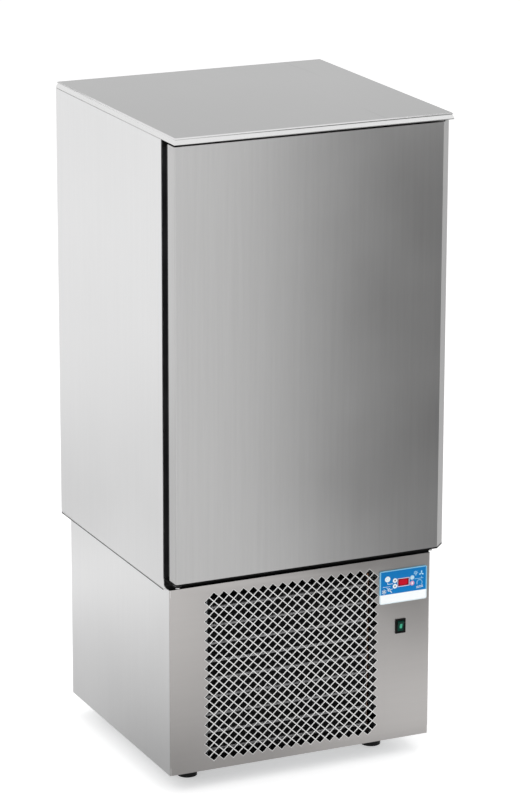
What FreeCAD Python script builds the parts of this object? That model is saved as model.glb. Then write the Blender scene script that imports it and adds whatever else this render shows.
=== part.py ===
import FreeCAD, Part

import math
import os

# Upright blast chiller on a ventilated machine base, in millimetres.
# X runs to the right, Y to the rear, Z up; the door faces -Y.
# The origin is on the floor, under the middle of the outer box.

# Overall size
width = 790.0
depth = 800.0
height = 1800.0
sheet = 1.2                  # stainless panels

# Levelling feet
foot_height = 60.0           # floor to the underside of the base
foot_width = 54.0
foot_flats = 24              # grip flats round the pad
foot_rim = 12.0              # height of the pad's upright rim
foot_neck_width = 38.0
foot_gap = 0.3               # neck to the underside of the base, foot screwed in
foot_side_inset = 107.0      # foot axis from the side of the base
foot_end_inset = 133.0       # foot axis from the front and rear of the base
spindle_width = 16.0         # across its corners
spindle_reach = 34.0         # above the underside of the base, foot screwed in

# Machine base
base_height = 520.0
base_side_inset = 12.0
base_front_inset = 72.0
base_rear_inset = 40.0
front_return = 72.0          # front panel's folded sides
fold_radius = 3.0
pan_wall = 25.0
post_leg = 30.0
post_sheet = 2.0

# Diamond perforation of the front panel
hole_pitch_x = 46.6
hole_pitch_z = 43.4
web = 5.0                    # metal left between neighbouring holes
grille_left_margin = 99.0
grille_top_margin = 21.0

# Control panel and switch on the front panel
bezel_width = 141.0
bezel_height = 94.0
bezel_thickness = 3.0
bezel_corner = 5.0
bezel_right_margin = 11.0
bezel_top_margin = 34.0
window_width = 32.0
window_height = 20.0
window_drop = 38.0           # window centre below the bezel's top edge
window_sink = 0.4
key_proud = 0.6              # also the keys' travel
key_seat = 1.0
key_gap = 0.3
# radius, distance right of the bezel's middle, distance below its top edge
key_places = {
    "key_start": (8.0, -47.7, 24.0),
    "key_up": (6.5, -25.5, 30.5),
    "key_down": (6.5, -25.5, 46.4),
    "key_light": (6.5, 26.4, 29.0),
    "key_defrost": (6.5, 26.4, 44.8),
}
controller_width = 78.0
controller_height = 34.0
controller_depth = 55.0
switch_width = 30.0
switch_height = 40.0
switch_flange = 3.0
switch_depth = 28.0
switch_wall = 2.0            # flange beyond the body, all round
switch_centre_from_right = 88.0
switch_centre_drop = 197.0   # below the top of the base
rocker_width = 18.0
rocker_half_height = 13.0
rocker_middle = 6.5          # front of the rocker ahead of its axis, at the middle
rocker_end = 8.3             # and at both ends
rocker_back = 2.0            # rear of the rocker behind its axis
rocker_axis_depth = 4.0      # axis behind the front panel's face
rocker_tilt = 10.0           # either side of level
rocker_gap = 0.3

# Insulated cabinet
plinth_height = 10.0
side_wall = 65.0             # outer skin to chamber at the sides
wall = 64.0                  # and at the floor, top and rear
hem = 12.0                   # folded front edge of a side panel, and the collar's depth
lid_thickness = 18.0
lid_chamfer = 3.0

# Door
door_depth = 84.0            # door face to the cabinet's front
door_edge = 42.0             # steel part of that
door_raise = 26.0            # door's lower edge above the cabinet's
lid_gap = 4.0
door_bevel = 30.0
door_corner = 4.0
door_return = 20.0
door_frame_left = 8.0        # black frame in from the door's hinge side
door_frame_grip = 30.0       # and from its grip side
door_frame_end = 6.0         # and from its ends
door_frame_width = 50.0
gasket_width = 22.0
gasket_depth = 16.0
gasket_margin = 8.0          # gasket's inner edge outside the chamber's opening
seal_gap = 0.3

# Hinges
hinge_in = 12.0              # axis from the door's hinge side
hinge_back = 18.0            # and behind its face
pin_radius = 5.0
pin_fit = 0.05
pin_reach = 18.0
bush_size = 18.0             # square block
bush_depth = 20.0
bush_seat = 4.0              # lower bush stands this far below the door, which it carries
bracket_width = 52.0
bracket_sheet = 3.0
lower_leaf = 4.0             # thicker, as it carries the door
bracket_flange = 18.0
bracket_corner = 5.0
bracket_edge = 3.0           # bracket in from the cabinet's side
washer_gap = 0.3

# Tray runners
level_pitch = 70.0           # as many levels as the chamber's height takes
first_level = 50.0           # above the chamber's floor
runner_front = 26.0          # behind the cabinet's front
runner_length = 420.0
runner_ledge = 27.0
runner_leg = 20.0
runner_sheet = 1.5
post_size = 18.0             # rack's posts, square tube
post_gap = 2.0               # between a rack's posts and the chamber's side
rack_post_inset = 30.0       # from each end of the runners

# Air cooler at the rear of the chamber
duct_depth = 186.0           # fan panel to the rear of the chamber
duct_foot = 24.0             # fan panel above the chamber's floor and below its top
fan_panel_fold = 18.0
cooler_width = 540.0
cooler_depth = 96.0
cooler_end_clear = 66.0      # above the chamber's floor and below its top
end_plate = 1.5
end_plate_flange = 6.0
chamber_fans = ["lower", "upper"]
fan_spacing = 480.0
fan_opening = 150.0
fan_strip = 3.0
fan_strip_width = 60.0

# Axial fans: one size in the chamber, one in the base
chamber_fan = {"hub": 38.0, "tip": 140.0, "depth": 28.0, "motor": 40.0, "body": 30.0}
base_fan = {"hub": 42.0, "tip": 150.0, "depth": 34.0, "motor": 46.0, "body": 60.0}
fan_blades = 5
full_turn = 360.0
blade_thickness = 2.5
blade_root = 50.0            # chord of a chamber fan's blade at its hub and tip
blade_tip = 84.0
blade_pitch = 22.0
shaft_radius = 4.0
shaft_fit = 0.05
shaft_step = 5.0             # motor face to the rotor's hub
shaft_recess = 5.0           # rotor's front ahead of the shaft's end

# Condenser behind the grille
condenser_behind = 28.0      # behind the front panel's face
condenser_inset = 21.0       # its sides inside the perforation's
condenser_depth = 60.0
condenser_lift = 14.0
condenser_top_gap = 48.0     # below the deck
header_radius = 6.0
header_gap = 14.0
shroud_depth = 46.0
shroud_opening = 158.0
arm_gap = 4.0                # rotor ahead of the arm
arm_width = 24.0
arm_thickness = 3.0

# Compressor set
compressor_x = -150.0
compressor_ahead = 170.0     # compressor's axis ahead of the base's rear
compressor_radius = 95.0
compressor_body = 175.0
crown_radius = 78.0
crown_height = 30.0
mount_size = 210.0
mount_sheet = 3.0
mount_height = 25.0
receiver_x = 40.0
receiver_ahead = 16.0         # clear space in front of the drip tray
receiver_radius = 50.0
receiver_height = 230.0
pipe_radius = 6.0
suction_behind = 66.0        # suction pipe behind the compressor's axis
service_gap = 2.0            # square cut-outs beyond the pipe and the drain

# Electrical box, mains inlet, drain and drip tray
box_width = 130.0
box_depth = 170.0
box_height = 260.0
box_side_gap = 16.0
box_front_gap = 150.0
box_lid = 2.0
inlet_inset = 83.0           # from the side of the base
inlet_height = 90.0          # above the underside of the base
inlet_bore = 6.5
inlet_neck = 21.0            # across its corners, as its hole
inlet_nut = 30.0             # across its corners
inlet_nut_depth = 6.0
inlet_nose = 16.0
inlet_tail = 14.0
drain_x = 110.0
drain_ahead = 124.0          # drain's axis ahead of the base's rear
drain_radius = 12.0
drain_bore = 9.5
drain_end = 26.0             # above the tray's floor
tray_width = 260.0
tray_depth = 200.0
tray_height = 40.0
tray_sheet = 1.5
tray_lift = 12.0
tray_foot = 15.0
vent_slots = 8
vent_width = 300.0
vent_height = 9.0
vent_pitch = 26.0
vent_top = 70.0              # first slot below the top of the base

# Planes and levels worked out from the sizes above
half_width = width / 2
front = -depth / 2
rear = depth / 2
base_half = half_width - base_side_inset
base_front = front + base_front_inset
base_rear = rear - base_rear_inset
base_top = foot_height + base_height
pan_floor = foot_height + sheet
deck_under = base_top - sheet
cabinet_bottom = base_top + plinth_height
cabinet_top = height - lid_thickness
cabinet_front = front + door_depth
collar_back = cabinet_front + hem
chamber_half = half_width - side_wall
chamber_floor = cabinet_bottom + wall
chamber_top = cabinet_top - wall
chamber_rear = rear - wall
door_bottom = cabinet_bottom + door_raise
door_top = cabinet_top - lid_gap
door_back = front + door_edge
hinge_x = -half_width + hinge_in
hinge_y = front + hinge_back
gasket_back = cabinet_front - seal_gap
gasket_seat = gasket_back - gasket_depth
tray_levels = int((chamber_top - chamber_floor - first_level) / level_pitch)
level_floors = [chamber_floor + first_level + level_pitch * i for i in range(tray_levels)]
fan_panel_y = chamber_rear - duct_depth
cooler_front = chamber_rear - end_plate_flange - cooler_depth
cooler_middle = (chamber_floor + chamber_top) / 2
bezel_right = base_half - bezel_right_margin
bezel_left = bezel_right - bezel_width
bezel_middle = bezel_right - bezel_width / 2
bezel_top = base_top - bezel_top_margin
switch_x = base_half - switch_centre_from_right
switch_z = base_top - switch_centre_drop
grille_left = -base_half + grille_left_margin
wide_row_holes = int((bezel_left - grille_left) / hole_pitch_x)
narrow_rows = int((base_height - 2 * grille_top_margin) / hole_pitch_z)
grille_middle = grille_left + wide_row_holes * hole_pitch_x / 2
condenser_front = base_front + condenser_behind
condenser_back = condenser_front + condenser_depth
condenser_bottom = pan_floor + condenser_lift
condenser_top = deck_under - condenser_top_gap
condenser_middle = (condenser_bottom + condenser_top) / 2
condenser_half = wide_row_holes * hole_pitch_x / 2 - condenser_inset
shroud_back = condenser_back + shroud_depth
compressor_y = base_rear - compressor_ahead
drain_y = base_rear - drain_ahead
receiver_y = drain_y - tray_depth / 2 - receiver_ahead - receiver_radius
inlet_x = base_half - inlet_inset
compressor_foot = pan_floor + mount_height
compressor_crown = compressor_foot + compressor_body + crown_height
suction_x = compressor_x
suction_y = compressor_y + suction_behind

Vec = FreeCAD.Vector


def block(x, y, z):
    """Rectangular solid over three spans."""
    corner = Vec(x[0], y[0], z[0])
    return Part.makeBox(x[1] - x[0], y[1] - y[0], z[1] - z[0], corner)


def both_sides(span):
    """The same span at +X and, mirrored, at -X."""
    return [span, (-span[1], -span[0])]


def outline(points, place):
    """Closed outline; a point with a third value is rounded to that radius."""
    count = len(points)
    starts, ends, arcs = [], [], []
    for i, point in enumerate(points):
        here = Vec(point[0], point[1], 0)
        radius = point[2] if len(point) > 2 else 0
        if not radius:
            starts.append(here)
            ends.append(here)
            arcs.append(None)
            continue
        before = Vec(points[i - 1][0], points[i - 1][1], 0) - here
        after = Vec(points[(i + 1) % count][0], points[(i + 1) % count][1], 0) - here
        before.normalize()
        after.normalize()
        half_angle = before.getAngle(after) / 2
        bisector = before + after
        bisector.normalize()
        middle = here + bisector * (radius / math.sin(half_angle) - radius)
        starts.append(here + before * (radius / math.tan(half_angle)))
        ends.append(here + after * (radius / math.tan(half_angle)))
        arcs.append(middle)
    edges = []
    for i in range(count):
        start, end = ends[i - 1], starts[i]
        if (end - start).Length > 1e-6:
            edges.append(Part.LineSegment(place(start), place(end)).toShape())
        if arcs[i]:
            arc = Part.Arc(place(starts[i]), place(arcs[i]), place(ends[i]))
            edges.append(arc.toShape())
    return Part.Wire(edges)


def upright(points, z):
    """Plan outline (x, y) drawn up over a span of z."""
    wire = outline(points, lambda p: Vec(p.x, p.y, z[0]))
    return Part.Face(wire).extrude(Vec(0, 0, z[1] - z[0]))


def crosswise(points, x):
    """Side outline (y, z) drawn over a span of x."""
    wire = outline(points, lambda p: Vec(x[0], p.x, p.y))
    return Part.Face(wire).extrude(Vec(x[1] - x[0], 0, 0))


def facing(points, y):
    """Front outline (x, z) drawn over a span of y."""
    wire = outline(points, lambda p: Vec(p.x, y[0], p.y))
    return Part.Face(wire).extrude(Vec(0, y[1] - y[0], 0))


def rectangle(x, z, corner=0.0):
    """Corner points of a rectangle, rounded if asked."""
    return [(a, b, corner) for a, b in ((x[0], z[0]), (x[1], z[0]), (x[1], z[1]), (x[0], z[1]))]


def mitred(outer, inner, y):
    """Four lengths of a frame, mitred in the corners; outer and inner are (x, z) spans."""
    big = rectangle(*outer)
    small = rectangle(*inner)
    corners = [(i, (i + 1) % 4) for i in range(4)]
    return [facing([big[i], big[j], small[j], small[i]], y) for i, j in corners]


def standing_rod(x, y, radius, z):
    return Part.makeCylinder(radius, z[1] - z[0], Vec(x, y, z[0]))


def lying_rod(x, z, radius, y):
    """Cylinder along Y."""
    return Part.makeCylinder(radius, y[1] - y[0], Vec(x, y[0], z), Vec(0, 1, 0))


def polygon(x, y, across, sides=6):
    """Corner points of a regular polygon of a given width across its corners."""
    turns = [2 * math.pi * i / sides for i in range(sides)]
    return [(x + across / 2 * math.cos(a), y + across / 2 * math.sin(a)) for a in turns]


def frustum(lower, upper, z):
    """Flat-sided taper between two plan outlines with as many corners."""
    low = [Vec(x, y, z[0]) for x, y in lower]
    high = [Vec(x, y, z[1]) for x, y in upper]
    count = len(low)
    rings = [low, high]
    for i in range(count):
        j = (i + 1) % count
        rings.append([low[i], low[j], high[j], high[i]])
    faces = [Part.Face(Part.makePolygon(ring + ring[:1])) for ring in rings]
    return Part.Solid(Part.Shell(faces))


def square_bar(x, y, half, z):
    return block((x - half, x + half), (y - half, y + half), z)


def pan(x, y, z, thick):
    """Open-topped sheet tray."""
    inside = block((x[0] + thick, x[1] - thick), (y[0] + thick, y[1] - thick), (z[0] + thick, z[1]))
    return block(x, y, z).cut(inside)


def keep(node, *solids):
    """Write one node; several solids of the same kind go in as a group."""
    shape = solids[0] if len(solids) == 1 else Part.makeCompound(list(solids))
    shape.exportStep(f"parts/{node}.step")


# ---- feet ----

def foot_places():
    across = base_half - foot_side_inset
    ahead = base_front + foot_end_inset
    behind = base_rear - foot_end_inset
    return {
        "front_left": (-across, ahead),
        "front_right": (across, ahead),
        "rear_left": (-across, behind),
        "rear_right": (across, behind),
    }


def foot(x, y):
    """Pad with grip flats, drawn in to a neck, and a hexagon spindle that rises through the pan."""
    neck_top = foot_height - foot_gap
    pad = polygon(x, y, foot_width, foot_flats)
    neck = polygon(x, y, foot_neck_width, foot_flats)
    spindle = polygon(x, y, spindle_width)
    body = upright(pad, (0, foot_rim)).fuse(frustum(pad, neck, (foot_rim, neck_top)))
    return body.fuse(upright(spindle, (neck_top, foot_height + spindle_reach)))


def make_feet():
    for place, (x, y) in foot_places().items():
        keep(f"foot_{place}", foot(x, y))


# ---- machine base ----

def base_plan(inset):
    """Plan inside the base's panels, its front corners rounded like their folds."""
    half = base_half - inset
    near = base_front + inset
    corner = max(fold_radius - inset, 0.0)
    far = base_rear - inset
    return [(-half, near, corner), (half, near, corner), (half, far), (-half, far)]


def base_pan():
    """Bottom tray, cleared for the feet's spindles."""
    body = upright(base_plan(sheet), (foot_height, foot_height + pan_wall))
    half = base_half - 2 * sheet
    y = (base_front + 2 * sheet, base_rear - 2 * sheet)
    body = body.cut(block((-half, half), y, (pan_floor, foot_height + pan_wall)))
    for x, y in foot_places().values():
        body = body.cut(square_bar(x, y, spindle_width / 2 + foot_gap, (foot_height, pan_floor)))
    return body


def diamond_wires():
    """Interlaced rows of diamond holes; every other row has one hole less."""
    diagonal = math.hypot(hole_pitch_x, hole_pitch_z)
    shrink = web * diagonal / (hole_pitch_x * hole_pitch_z)
    half_x = hole_pitch_x / 2 * (1 - shrink)
    half_z = hole_pitch_z / 2 * (1 - shrink)
    top = base_top - grille_top_margin
    wires = []
    for row in range(2 * narrow_rows - 1):
        wide = row % 2
        count = wide_row_holes if wide else wide_row_holes - 1
        z = top - hole_pitch_z * (row + 1) / 2
        for column in range(count):
            x = grille_middle + hole_pitch_x * (column - (count - 1) / 2)
            corners = [(x + half_x, z), (x, z + half_z), (x - half_x, z), (x, z - half_z)]
            points = [Vec(a, base_front, b) for a, b in corners]
            wires.append(Part.makePolygon(points + points[:1]))
    return wires


def switch_cut_wire():
    half_x = switch_width / 2 - switch_wall
    half_z = switch_height / 2 - switch_wall
    points = rectangle(
        (switch_x - half_x, switch_x + half_x), (switch_z - half_z, switch_z + half_z))
    return outline(points, lambda p: Vec(p.x, base_front, p.y))


def front_panel():
    """Perforated sheet, folded back along both sides."""
    flat_half = base_half - fold_radius
    border = rectangle((-flat_half, flat_half), (foot_height, base_top))
    edge = outline(border, lambda p: Vec(p.x, base_front, p.y))
    face = Part.Face([edge] + diamond_wires() + [switch_cut_wire()])
    panel = face.extrude(Vec(0, sheet, 0))
    inner = base_half - sheet
    back = base_front + front_return
    for side in (-1, 1):
        profile = [
            (side * flat_half, base_front), (side * base_half, base_front, fold_radius),
            (side * base_half, back), (side * inner, back),
            (side * inner, base_front + sheet, fold_radius - sheet),
            (side * flat_half, base_front + sheet),
        ]
        panel = panel.fuse(upright(profile, (foot_height, base_top)))
    return panel.removeSplitter()


def base_side_panel(span):
    return block(span, (base_front + front_return, base_rear - sheet), (foot_height, base_top))


def base_back_panel():
    """Rear sheet with air slots and the hole of the mains inlet."""
    body = block((-base_half, base_half), (base_rear - sheet, base_rear), (foot_height, base_top))
    y = (base_rear - sheet, base_rear)
    for slot in range(vent_slots):
        z = base_top - vent_top - vent_pitch * slot
        points = rectangle((-vent_width / 2, vent_width / 2), (z - vent_height, z))
        body = body.cut(facing(points, y))
    inlet_z = foot_height + inlet_height
    return body.cut(facing(polygon(inlet_x, inlet_z, inlet_neck), y))


def base_posts():
    """Angle posts in the four corners, standing in the pan."""
    outer = base_half - 2 * sheet
    near = base_front + 2 * sheet
    far = base_rear - 2 * sheet
    posts = []
    for side in (-1, 1):
        for y, inward in ((near, 1), (far, -1)):
            x = side * outer
            leg_x = x - side * post_leg
            leg_y = y + inward * post_leg
            thick_x = x - side * post_sheet
            thick_y = y + inward * post_sheet
            points = [
                (x, y), (leg_x, y), (leg_x, thick_y), (thick_x, thick_y),
                (thick_x, leg_y), (x, leg_y),
            ]
            posts.append(upright(points, (pan_floor, deck_under)))
    return posts


def service_cuts(z):
    """Square cut-outs round the suction pipe and the drain, in the layers under the chamber."""
    return [
        square_bar(suction_x, suction_y, pipe_radius + service_gap, z),
        square_bar(drain_x, drain_y, drain_radius + service_gap, z),
    ]


def base_deck():
    """Sheet that closes the base and carries the cabinet."""
    z = (deck_under, base_top)
    body = upright(base_plan(sheet), z)
    for cut in service_cuts(z):
        body = body.cut(cut)
    return body


def make_base():
    keep("base_pan", base_pan())
    keep("front_panel", front_panel())
    keep("base_sides", *[base_side_panel(x) for x in both_sides((base_half - sheet, base_half))])
    keep("base_back", base_back_panel())
    keep("base_posts", *base_posts())
    keep("base_deck", base_deck())


# ---- controls ----

def key_centre(name):
    radius, across, drop = key_places[name]
    return bezel_middle + across, bezel_top - drop, radius


def window_span(gap):
    half_x = window_width / 2 - gap
    half_z = window_height / 2 - gap
    z = bezel_top - window_drop
    return rectangle((bezel_middle - half_x, bezel_middle + half_x), (z - half_z, z + half_z))


def control_bezel():
    x = (bezel_left, bezel_right)
    z = (bezel_top - bezel_height, bezel_top)
    y = (base_front - bezel_thickness, base_front)
    body = facing(rectangle(x, z, bezel_corner), y)
    body = body.cut(facing(window_span(0.0), y))
    for name in key_places:
        key_x, key_z, radius = key_centre(name)
        body = body.cut(lying_rod(key_x, key_z, radius + key_gap, y))
    return body


def control_key(name):
    x, z, radius = key_centre(name)
    return lying_rod(
        x, z, radius, (base_front - bezel_thickness - key_proud, base_front - key_seat))


def display_window():
    y = (base_front - bezel_thickness + window_sink, base_front)
    return facing(window_span(0.0), y)


def controller():
    """Controller case behind the front panel."""
    half = controller_width / 2
    z = bezel_top - window_drop
    body_z = (z - controller_height / 2, z + controller_height / 2)
    y = (base_front + sheet, base_front + sheet + controller_depth)
    return block((bezel_middle - half, bezel_middle + half), y, body_z)


def switch_housing():
    """Switch flange and body, hollow for the rocker."""
    axis_y = base_front + rocker_axis_depth
    reach = math.hypot(rocker_half_height, rocker_end) + rocker_gap
    flange = rectangle(
        (switch_x - switch_width / 2, switch_x + switch_width / 2),
        (switch_z - switch_height / 2, switch_z + switch_height / 2))
    body = facing(flange, (base_front - switch_flange, base_front))
    half_x = switch_width / 2 - switch_wall
    half_z = switch_height / 2 - switch_wall
    shank = rectangle(
        (switch_x - half_x, switch_x + half_x), (switch_z - half_z, switch_z + half_z))
    body = body.fuse(facing(shank, (base_front, base_front + switch_depth)))
    side = rocker_width / 2 + rocker_gap
    mouth = block(
        (switch_x - side, switch_x + side),
        (base_front - switch_flange, axis_y + rocker_half_height / 2),
        (switch_z - reach, switch_z + reach))
    return body.cut(mouth).removeSplitter()


def rocker():
    """Rocker with a shallow V front and ends struck from its own axis, tipped to ON."""
    axis_y = base_front + rocker_axis_depth
    axis_z = switch_z
    reach = math.hypot(rocker_half_height, rocker_end)
    back_z = math.sqrt(reach**2 - rocker_back**2)
    x = switch_x - rocker_width / 2

    def at(ahead, up):
        return Vec(x, axis_y - ahead, axis_z + up)

    edges = []
    for side in (1, -1):
        tip = at(rocker_end, side * rocker_half_height)
        heel = at(-rocker_back, side * back_z)
        edges.append(Part.LineSegment(at(rocker_middle, 0), tip).toShape())
        edges.append(Part.Arc(tip, at(0, side * reach), heel).toShape())
    edges.append(Part.LineSegment(at(-rocker_back, back_z), at(-rocker_back, -back_z)).toShape())
    wire = Part.Wire(Part.__sortEdges__(edges))
    body = Part.Face(wire).extrude(Vec(rocker_width, 0, 0))
    body.rotate(Vec(switch_x, axis_y, axis_z), Vec(1, 0, 0), rocker_tilt)
    return body


def make_controls():
    keep("control_bezel", control_bezel())
    keep("display_window", display_window())
    keep("controller", controller())
    for name in key_places:
        keep(name, control_key(name))
    keep("switch_housing", switch_housing())
    keep("power_rocker", rocker())


# ---- insulated cabinet ----

def cabinet_side(side):
    """Side sheet with a hem folded in along its front edge."""
    outer = side * half_width
    inner = side * (half_width - sheet)
    hem_face = side * (half_width - 2 * sheet)
    points = [
        (outer, cabinet_front), (outer, rear - sheet), (inner, rear - sheet),
        (inner, collar_back), (hem_face, collar_back), (hem_face, cabinet_front),
    ]
    return upright(points, (cabinet_bottom, cabinet_top))


def cabinet_back():
    y = (rear - sheet, rear)
    return block((-half_width, half_width), y, (cabinet_bottom, cabinet_top))


def cabinet_floor():
    """Bottom sheet on a plinth that is set in as far as the base."""
    top = block((-half_width, half_width), (cabinet_front, rear), (cabinet_bottom - sheet, cabinet_bottom))
    x = (-base_half, base_half)
    y = (cabinet_front + sheet, base_rear)
    z = (base_top, cabinet_bottom - sheet)
    inside = block((x[0] + sheet, x[1] - sheet), (y[0] + sheet, y[1] - sheet), z)
    body = top.fuse(block(x, y, z).cut(inside)).removeSplitter()
    for cut in service_cuts((cabinet_bottom - sheet, cabinet_bottom)):
        body = body.cut(cut)
    return body


def lid():
    """Folded top that runs over the door, open below over the foam, its upper edges broken."""
    x = (-half_width, half_width)
    profile = [
        (front, cabinet_top), (front, height - lid_chamfer), (front + lid_chamfer, height),
        (rear - lid_chamfer, height), (rear, height - lid_chamfer), (rear, cabinet_top),
    ]
    body = crosswise(profile, x)
    for side in (-1, 1):
        corner = [
            (side * half_width, height - lid_chamfer), (side * half_width, height),
            (side * (half_width - lid_chamfer), height),
        ]
        body = body.cut(facing(corner, (front, rear)))
    hollow = [
        (front + sheet, cabinet_top + sheet), (front + sheet, height - lid_chamfer),
        (front + lid_chamfer, height - sheet), (rear - lid_chamfer, height - sheet),
        (rear - sheet, height - lid_chamfer), (rear - sheet, cabinet_top + sheet),
    ]
    inner = half_width - lid_chamfer
    body = body.cut(crosswise(hollow, (-inner, inner)))
    z_mouth = (cabinet_top, cabinet_top + sheet)
    return body.cut(block((-inner, inner), (collar_back, rear - sheet), z_mouth))


def front_collar():
    """Four mitred lengths that frame the chamber's mouth."""
    outer = half_width - 2 * sheet
    return mitred(
        ((-outer, outer), (cabinet_bottom, cabinet_top)),
        ((-chamber_half, chamber_half), (chamber_floor, chamber_top)),
        (cabinet_front, collar_back))


def chamber_liner():
    """The five sheets that the chamber is welded from."""
    y = (collar_back, chamber_rear)
    z = (chamber_floor, chamber_top)
    right, left = both_sides((chamber_half, chamber_half + sheet))
    x = (-chamber_half, chamber_half)
    z_floor = (chamber_floor - sheet, chamber_floor)
    floor = block(x, y, z_floor)
    floor = floor.cut(square_bar(suction_x, suction_y, pipe_radius + service_gap, z_floor))
    floor = floor.cut(standing_rod(drain_x, drain_y, drain_radius, z_floor))
    top = block(x, y, (chamber_top, chamber_top + sheet))
    back = block(x, (chamber_rear, chamber_rear + sheet), z)
    return [block(right, y, z), block(left, y, z), floor, top, back]


def cabinet_foam():
    inner = half_width - sheet
    body = block((-inner, inner), (collar_back, rear - sheet), (cabinet_bottom, cabinet_top))
    x = (-chamber_half - sheet, chamber_half + sheet)
    y = (collar_back, chamber_rear + sheet)
    body = body.cut(block(x, y, (chamber_floor - sheet, chamber_top + sheet)))
    for cut in service_cuts((cabinet_bottom, chamber_floor - sheet)):
        body = body.cut(cut)
    return body


def make_cabinet():
    keep("cabinet_side_left", cabinet_side(-1))
    keep("cabinet_side_right", cabinet_side(1))
    keep("cabinet_back", cabinet_back())
    keep("cabinet_floor", cabinet_floor())
    keep("lid", lid())
    keep("front_collar", *front_collar())
    keep("cabinet_foam", cabinet_foam())
    keep("chamber_liner", *chamber_liner())


# ---- door and hinges ----

def door_plan(inset):
    """Plan of the door's outer skin, or of its inside when set in by the sheet."""
    left = -half_width + inset
    right = half_width - inset
    face = front + inset
    slope = inset * math.tan(math.radians(22.5))
    return [
        (left, door_back - inset), (left, face, door_corner - inset),
        (half_width - door_bevel - slope, face),
        (right, front + door_bevel + slope), (right, door_back - inset),
    ]


def bush_pockets():
    """Sockets for the hinge bushes at the foot and head of the door."""
    low = (door_bottom, door_bottom + bush_depth)
    high = (door_top - bush_depth, door_top)
    return [square_bar(hinge_x, hinge_y, bush_size / 2, z) for z in (low, high)]


def door_shell():
    """Steel tray with a bevelled grip edge, open to the rear between its returns."""
    z = (door_bottom, door_top)
    body = upright(door_plan(0.0), z)
    body = body.cut(upright(door_plan(sheet), (z[0] + sheet, z[1] - sheet)))
    x = (-half_width + door_return, half_width - door_frame_grip - sheet)
    z_open = (door_bottom + door_return, door_top - door_return)
    body = body.cut(block(x, (door_back - sheet, door_back), z_open))
    for pocket in bush_pockets():
        body = body.cut(pocket)
    return body


def door_frame_spans():
    x = (-half_width + door_frame_left, half_width - door_frame_grip)
    z = (door_bottom + door_frame_end, door_top - door_frame_end)
    return x, z


def within_frame(span):
    return span[0] + door_frame_width, span[1] - door_frame_width


def door_foam():
    """Foam in the steel tray and in the raised middle of the door's inner side."""
    body = upright(door_plan(sheet), (door_bottom + sheet, door_top - sheet))
    x, z = door_frame_spans()
    x_open = (-half_width + door_return, half_width - door_frame_grip - sheet)
    z_open = (door_bottom + door_return, door_top - door_return)
    body = body.fuse(block(x_open, (door_back - sheet, door_back), z_open))
    middle_y = (door_back, gasket_seat - sheet)
    body = body.fuse(block(within_frame(x), middle_y, within_frame(z)))
    for pocket in bush_pockets():
        body = body.cut(pocket)
    return body.removeSplitter()


def door_frame():
    """Black frame round the door's inner side, which carries the gasket."""
    x, z = door_frame_spans()
    return mitred((x, z), (within_frame(x), within_frame(z)), (door_back, gasket_seat))


def door_liner():
    x, z = door_frame_spans()
    return block(within_frame(x), (gasket_seat - sheet, gasket_seat), within_frame(z))


def gasket_spans(out):
    """Rectangle outside the gasket's inner edge."""
    x = chamber_half + gasket_margin + out
    return (-x, x), (chamber_floor - gasket_margin - out, chamber_top + gasket_margin + out)


def door_gasket():
    """Four mitred lengths, each a flat foot and a narrower nose against the collar."""
    step = gasket_seat + gasket_depth / 2
    nose_in = gasket_width / 4
    feet = mitred(gasket_spans(gasket_width), gasket_spans(0.0), (gasket_seat, step))
    noses = mitred(
        gasket_spans(gasket_width - nose_in), gasket_spans(nose_in), (step, gasket_back))
    return [foot.fuse(nose).removeSplitter() for foot, nose in zip(feet, noses)]


def hinge_bracket(leaf, pin, flange_z):
    """Leaf out to the hinge axis, flange on the cabinet's front and fixed pin, in one piece."""
    left = -half_width + bracket_edge
    right = left + bracket_width
    nose = hinge_in - bracket_edge
    tip = hinge_x + nose
    points = [
        (left, cabinet_front), (left, hinge_y - nose + bracket_corner),
        (left + bracket_corner, hinge_y - nose), (tip - bracket_corner, hinge_y - nose),
        (tip, hinge_y - nose + bracket_corner), (right, cabinet_front),
    ]
    body = upright(points, leaf)
    body = body.fuse(block((left, right), (cabinet_front - bracket_sheet, cabinet_front), flange_z))
    return body.fuse(standing_rod(hinge_x, hinge_y, pin_radius, pin)).removeSplitter()


def lower_hinge():
    top = door_bottom - washer_gap - bush_seat
    leaf = (top - lower_leaf, top)
    return hinge_bracket(leaf, (leaf[0], door_bottom + pin_reach), (top - bracket_flange, top))


def upper_hinge():
    low = door_top + (lid_gap - bracket_sheet) / 2
    high = low + bracket_sheet
    return hinge_bracket((low, high), (door_top - pin_reach, high), (high - bracket_flange, high))


def lower_bush():
    z = (door_bottom - bush_seat, door_bottom + bush_depth)
    body = square_bar(hinge_x, hinge_y, bush_size / 2, z)
    return body.cut(standing_rod(hinge_x, hinge_y, pin_radius + pin_fit, z))


def upper_bush():
    z = (door_top - bush_depth, door_top)
    body = square_bar(hinge_x, hinge_y, bush_size / 2, z)
    return body.cut(standing_rod(hinge_x, hinge_y, pin_radius + pin_fit, z))


def make_door():
    keep("door_shell", door_shell())
    keep("door_foam", door_foam())
    keep("door_frame", *door_frame())
    keep("door_liner", door_liner())
    keep("door_gasket", *door_gasket())
    keep("hinge_bushes", lower_bush(), upper_bush())
    keep("hinge_brackets", lower_hinge(), upper_hinge())


# ---- chamber: runners and air cooler ----

def runner_side(side):
    """One angle runner for each tray level."""
    inner_post = chamber_half - post_gap - post_size
    y = (cabinet_front + runner_front, cabinet_front + runner_front + runner_length)
    runners = []
    for z in level_floors:
        points = [
            (inner_post, z), (inner_post, z + runner_leg),
            (inner_post - runner_sheet, z + runner_leg),
            (inner_post - runner_sheet, z + runner_sheet),
            (inner_post - runner_ledge, z + runner_sheet), (inner_post - runner_ledge, z),
        ]
        runners.append(facing([(side * a, b) for a, b in points], y))
    return runners


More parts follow.
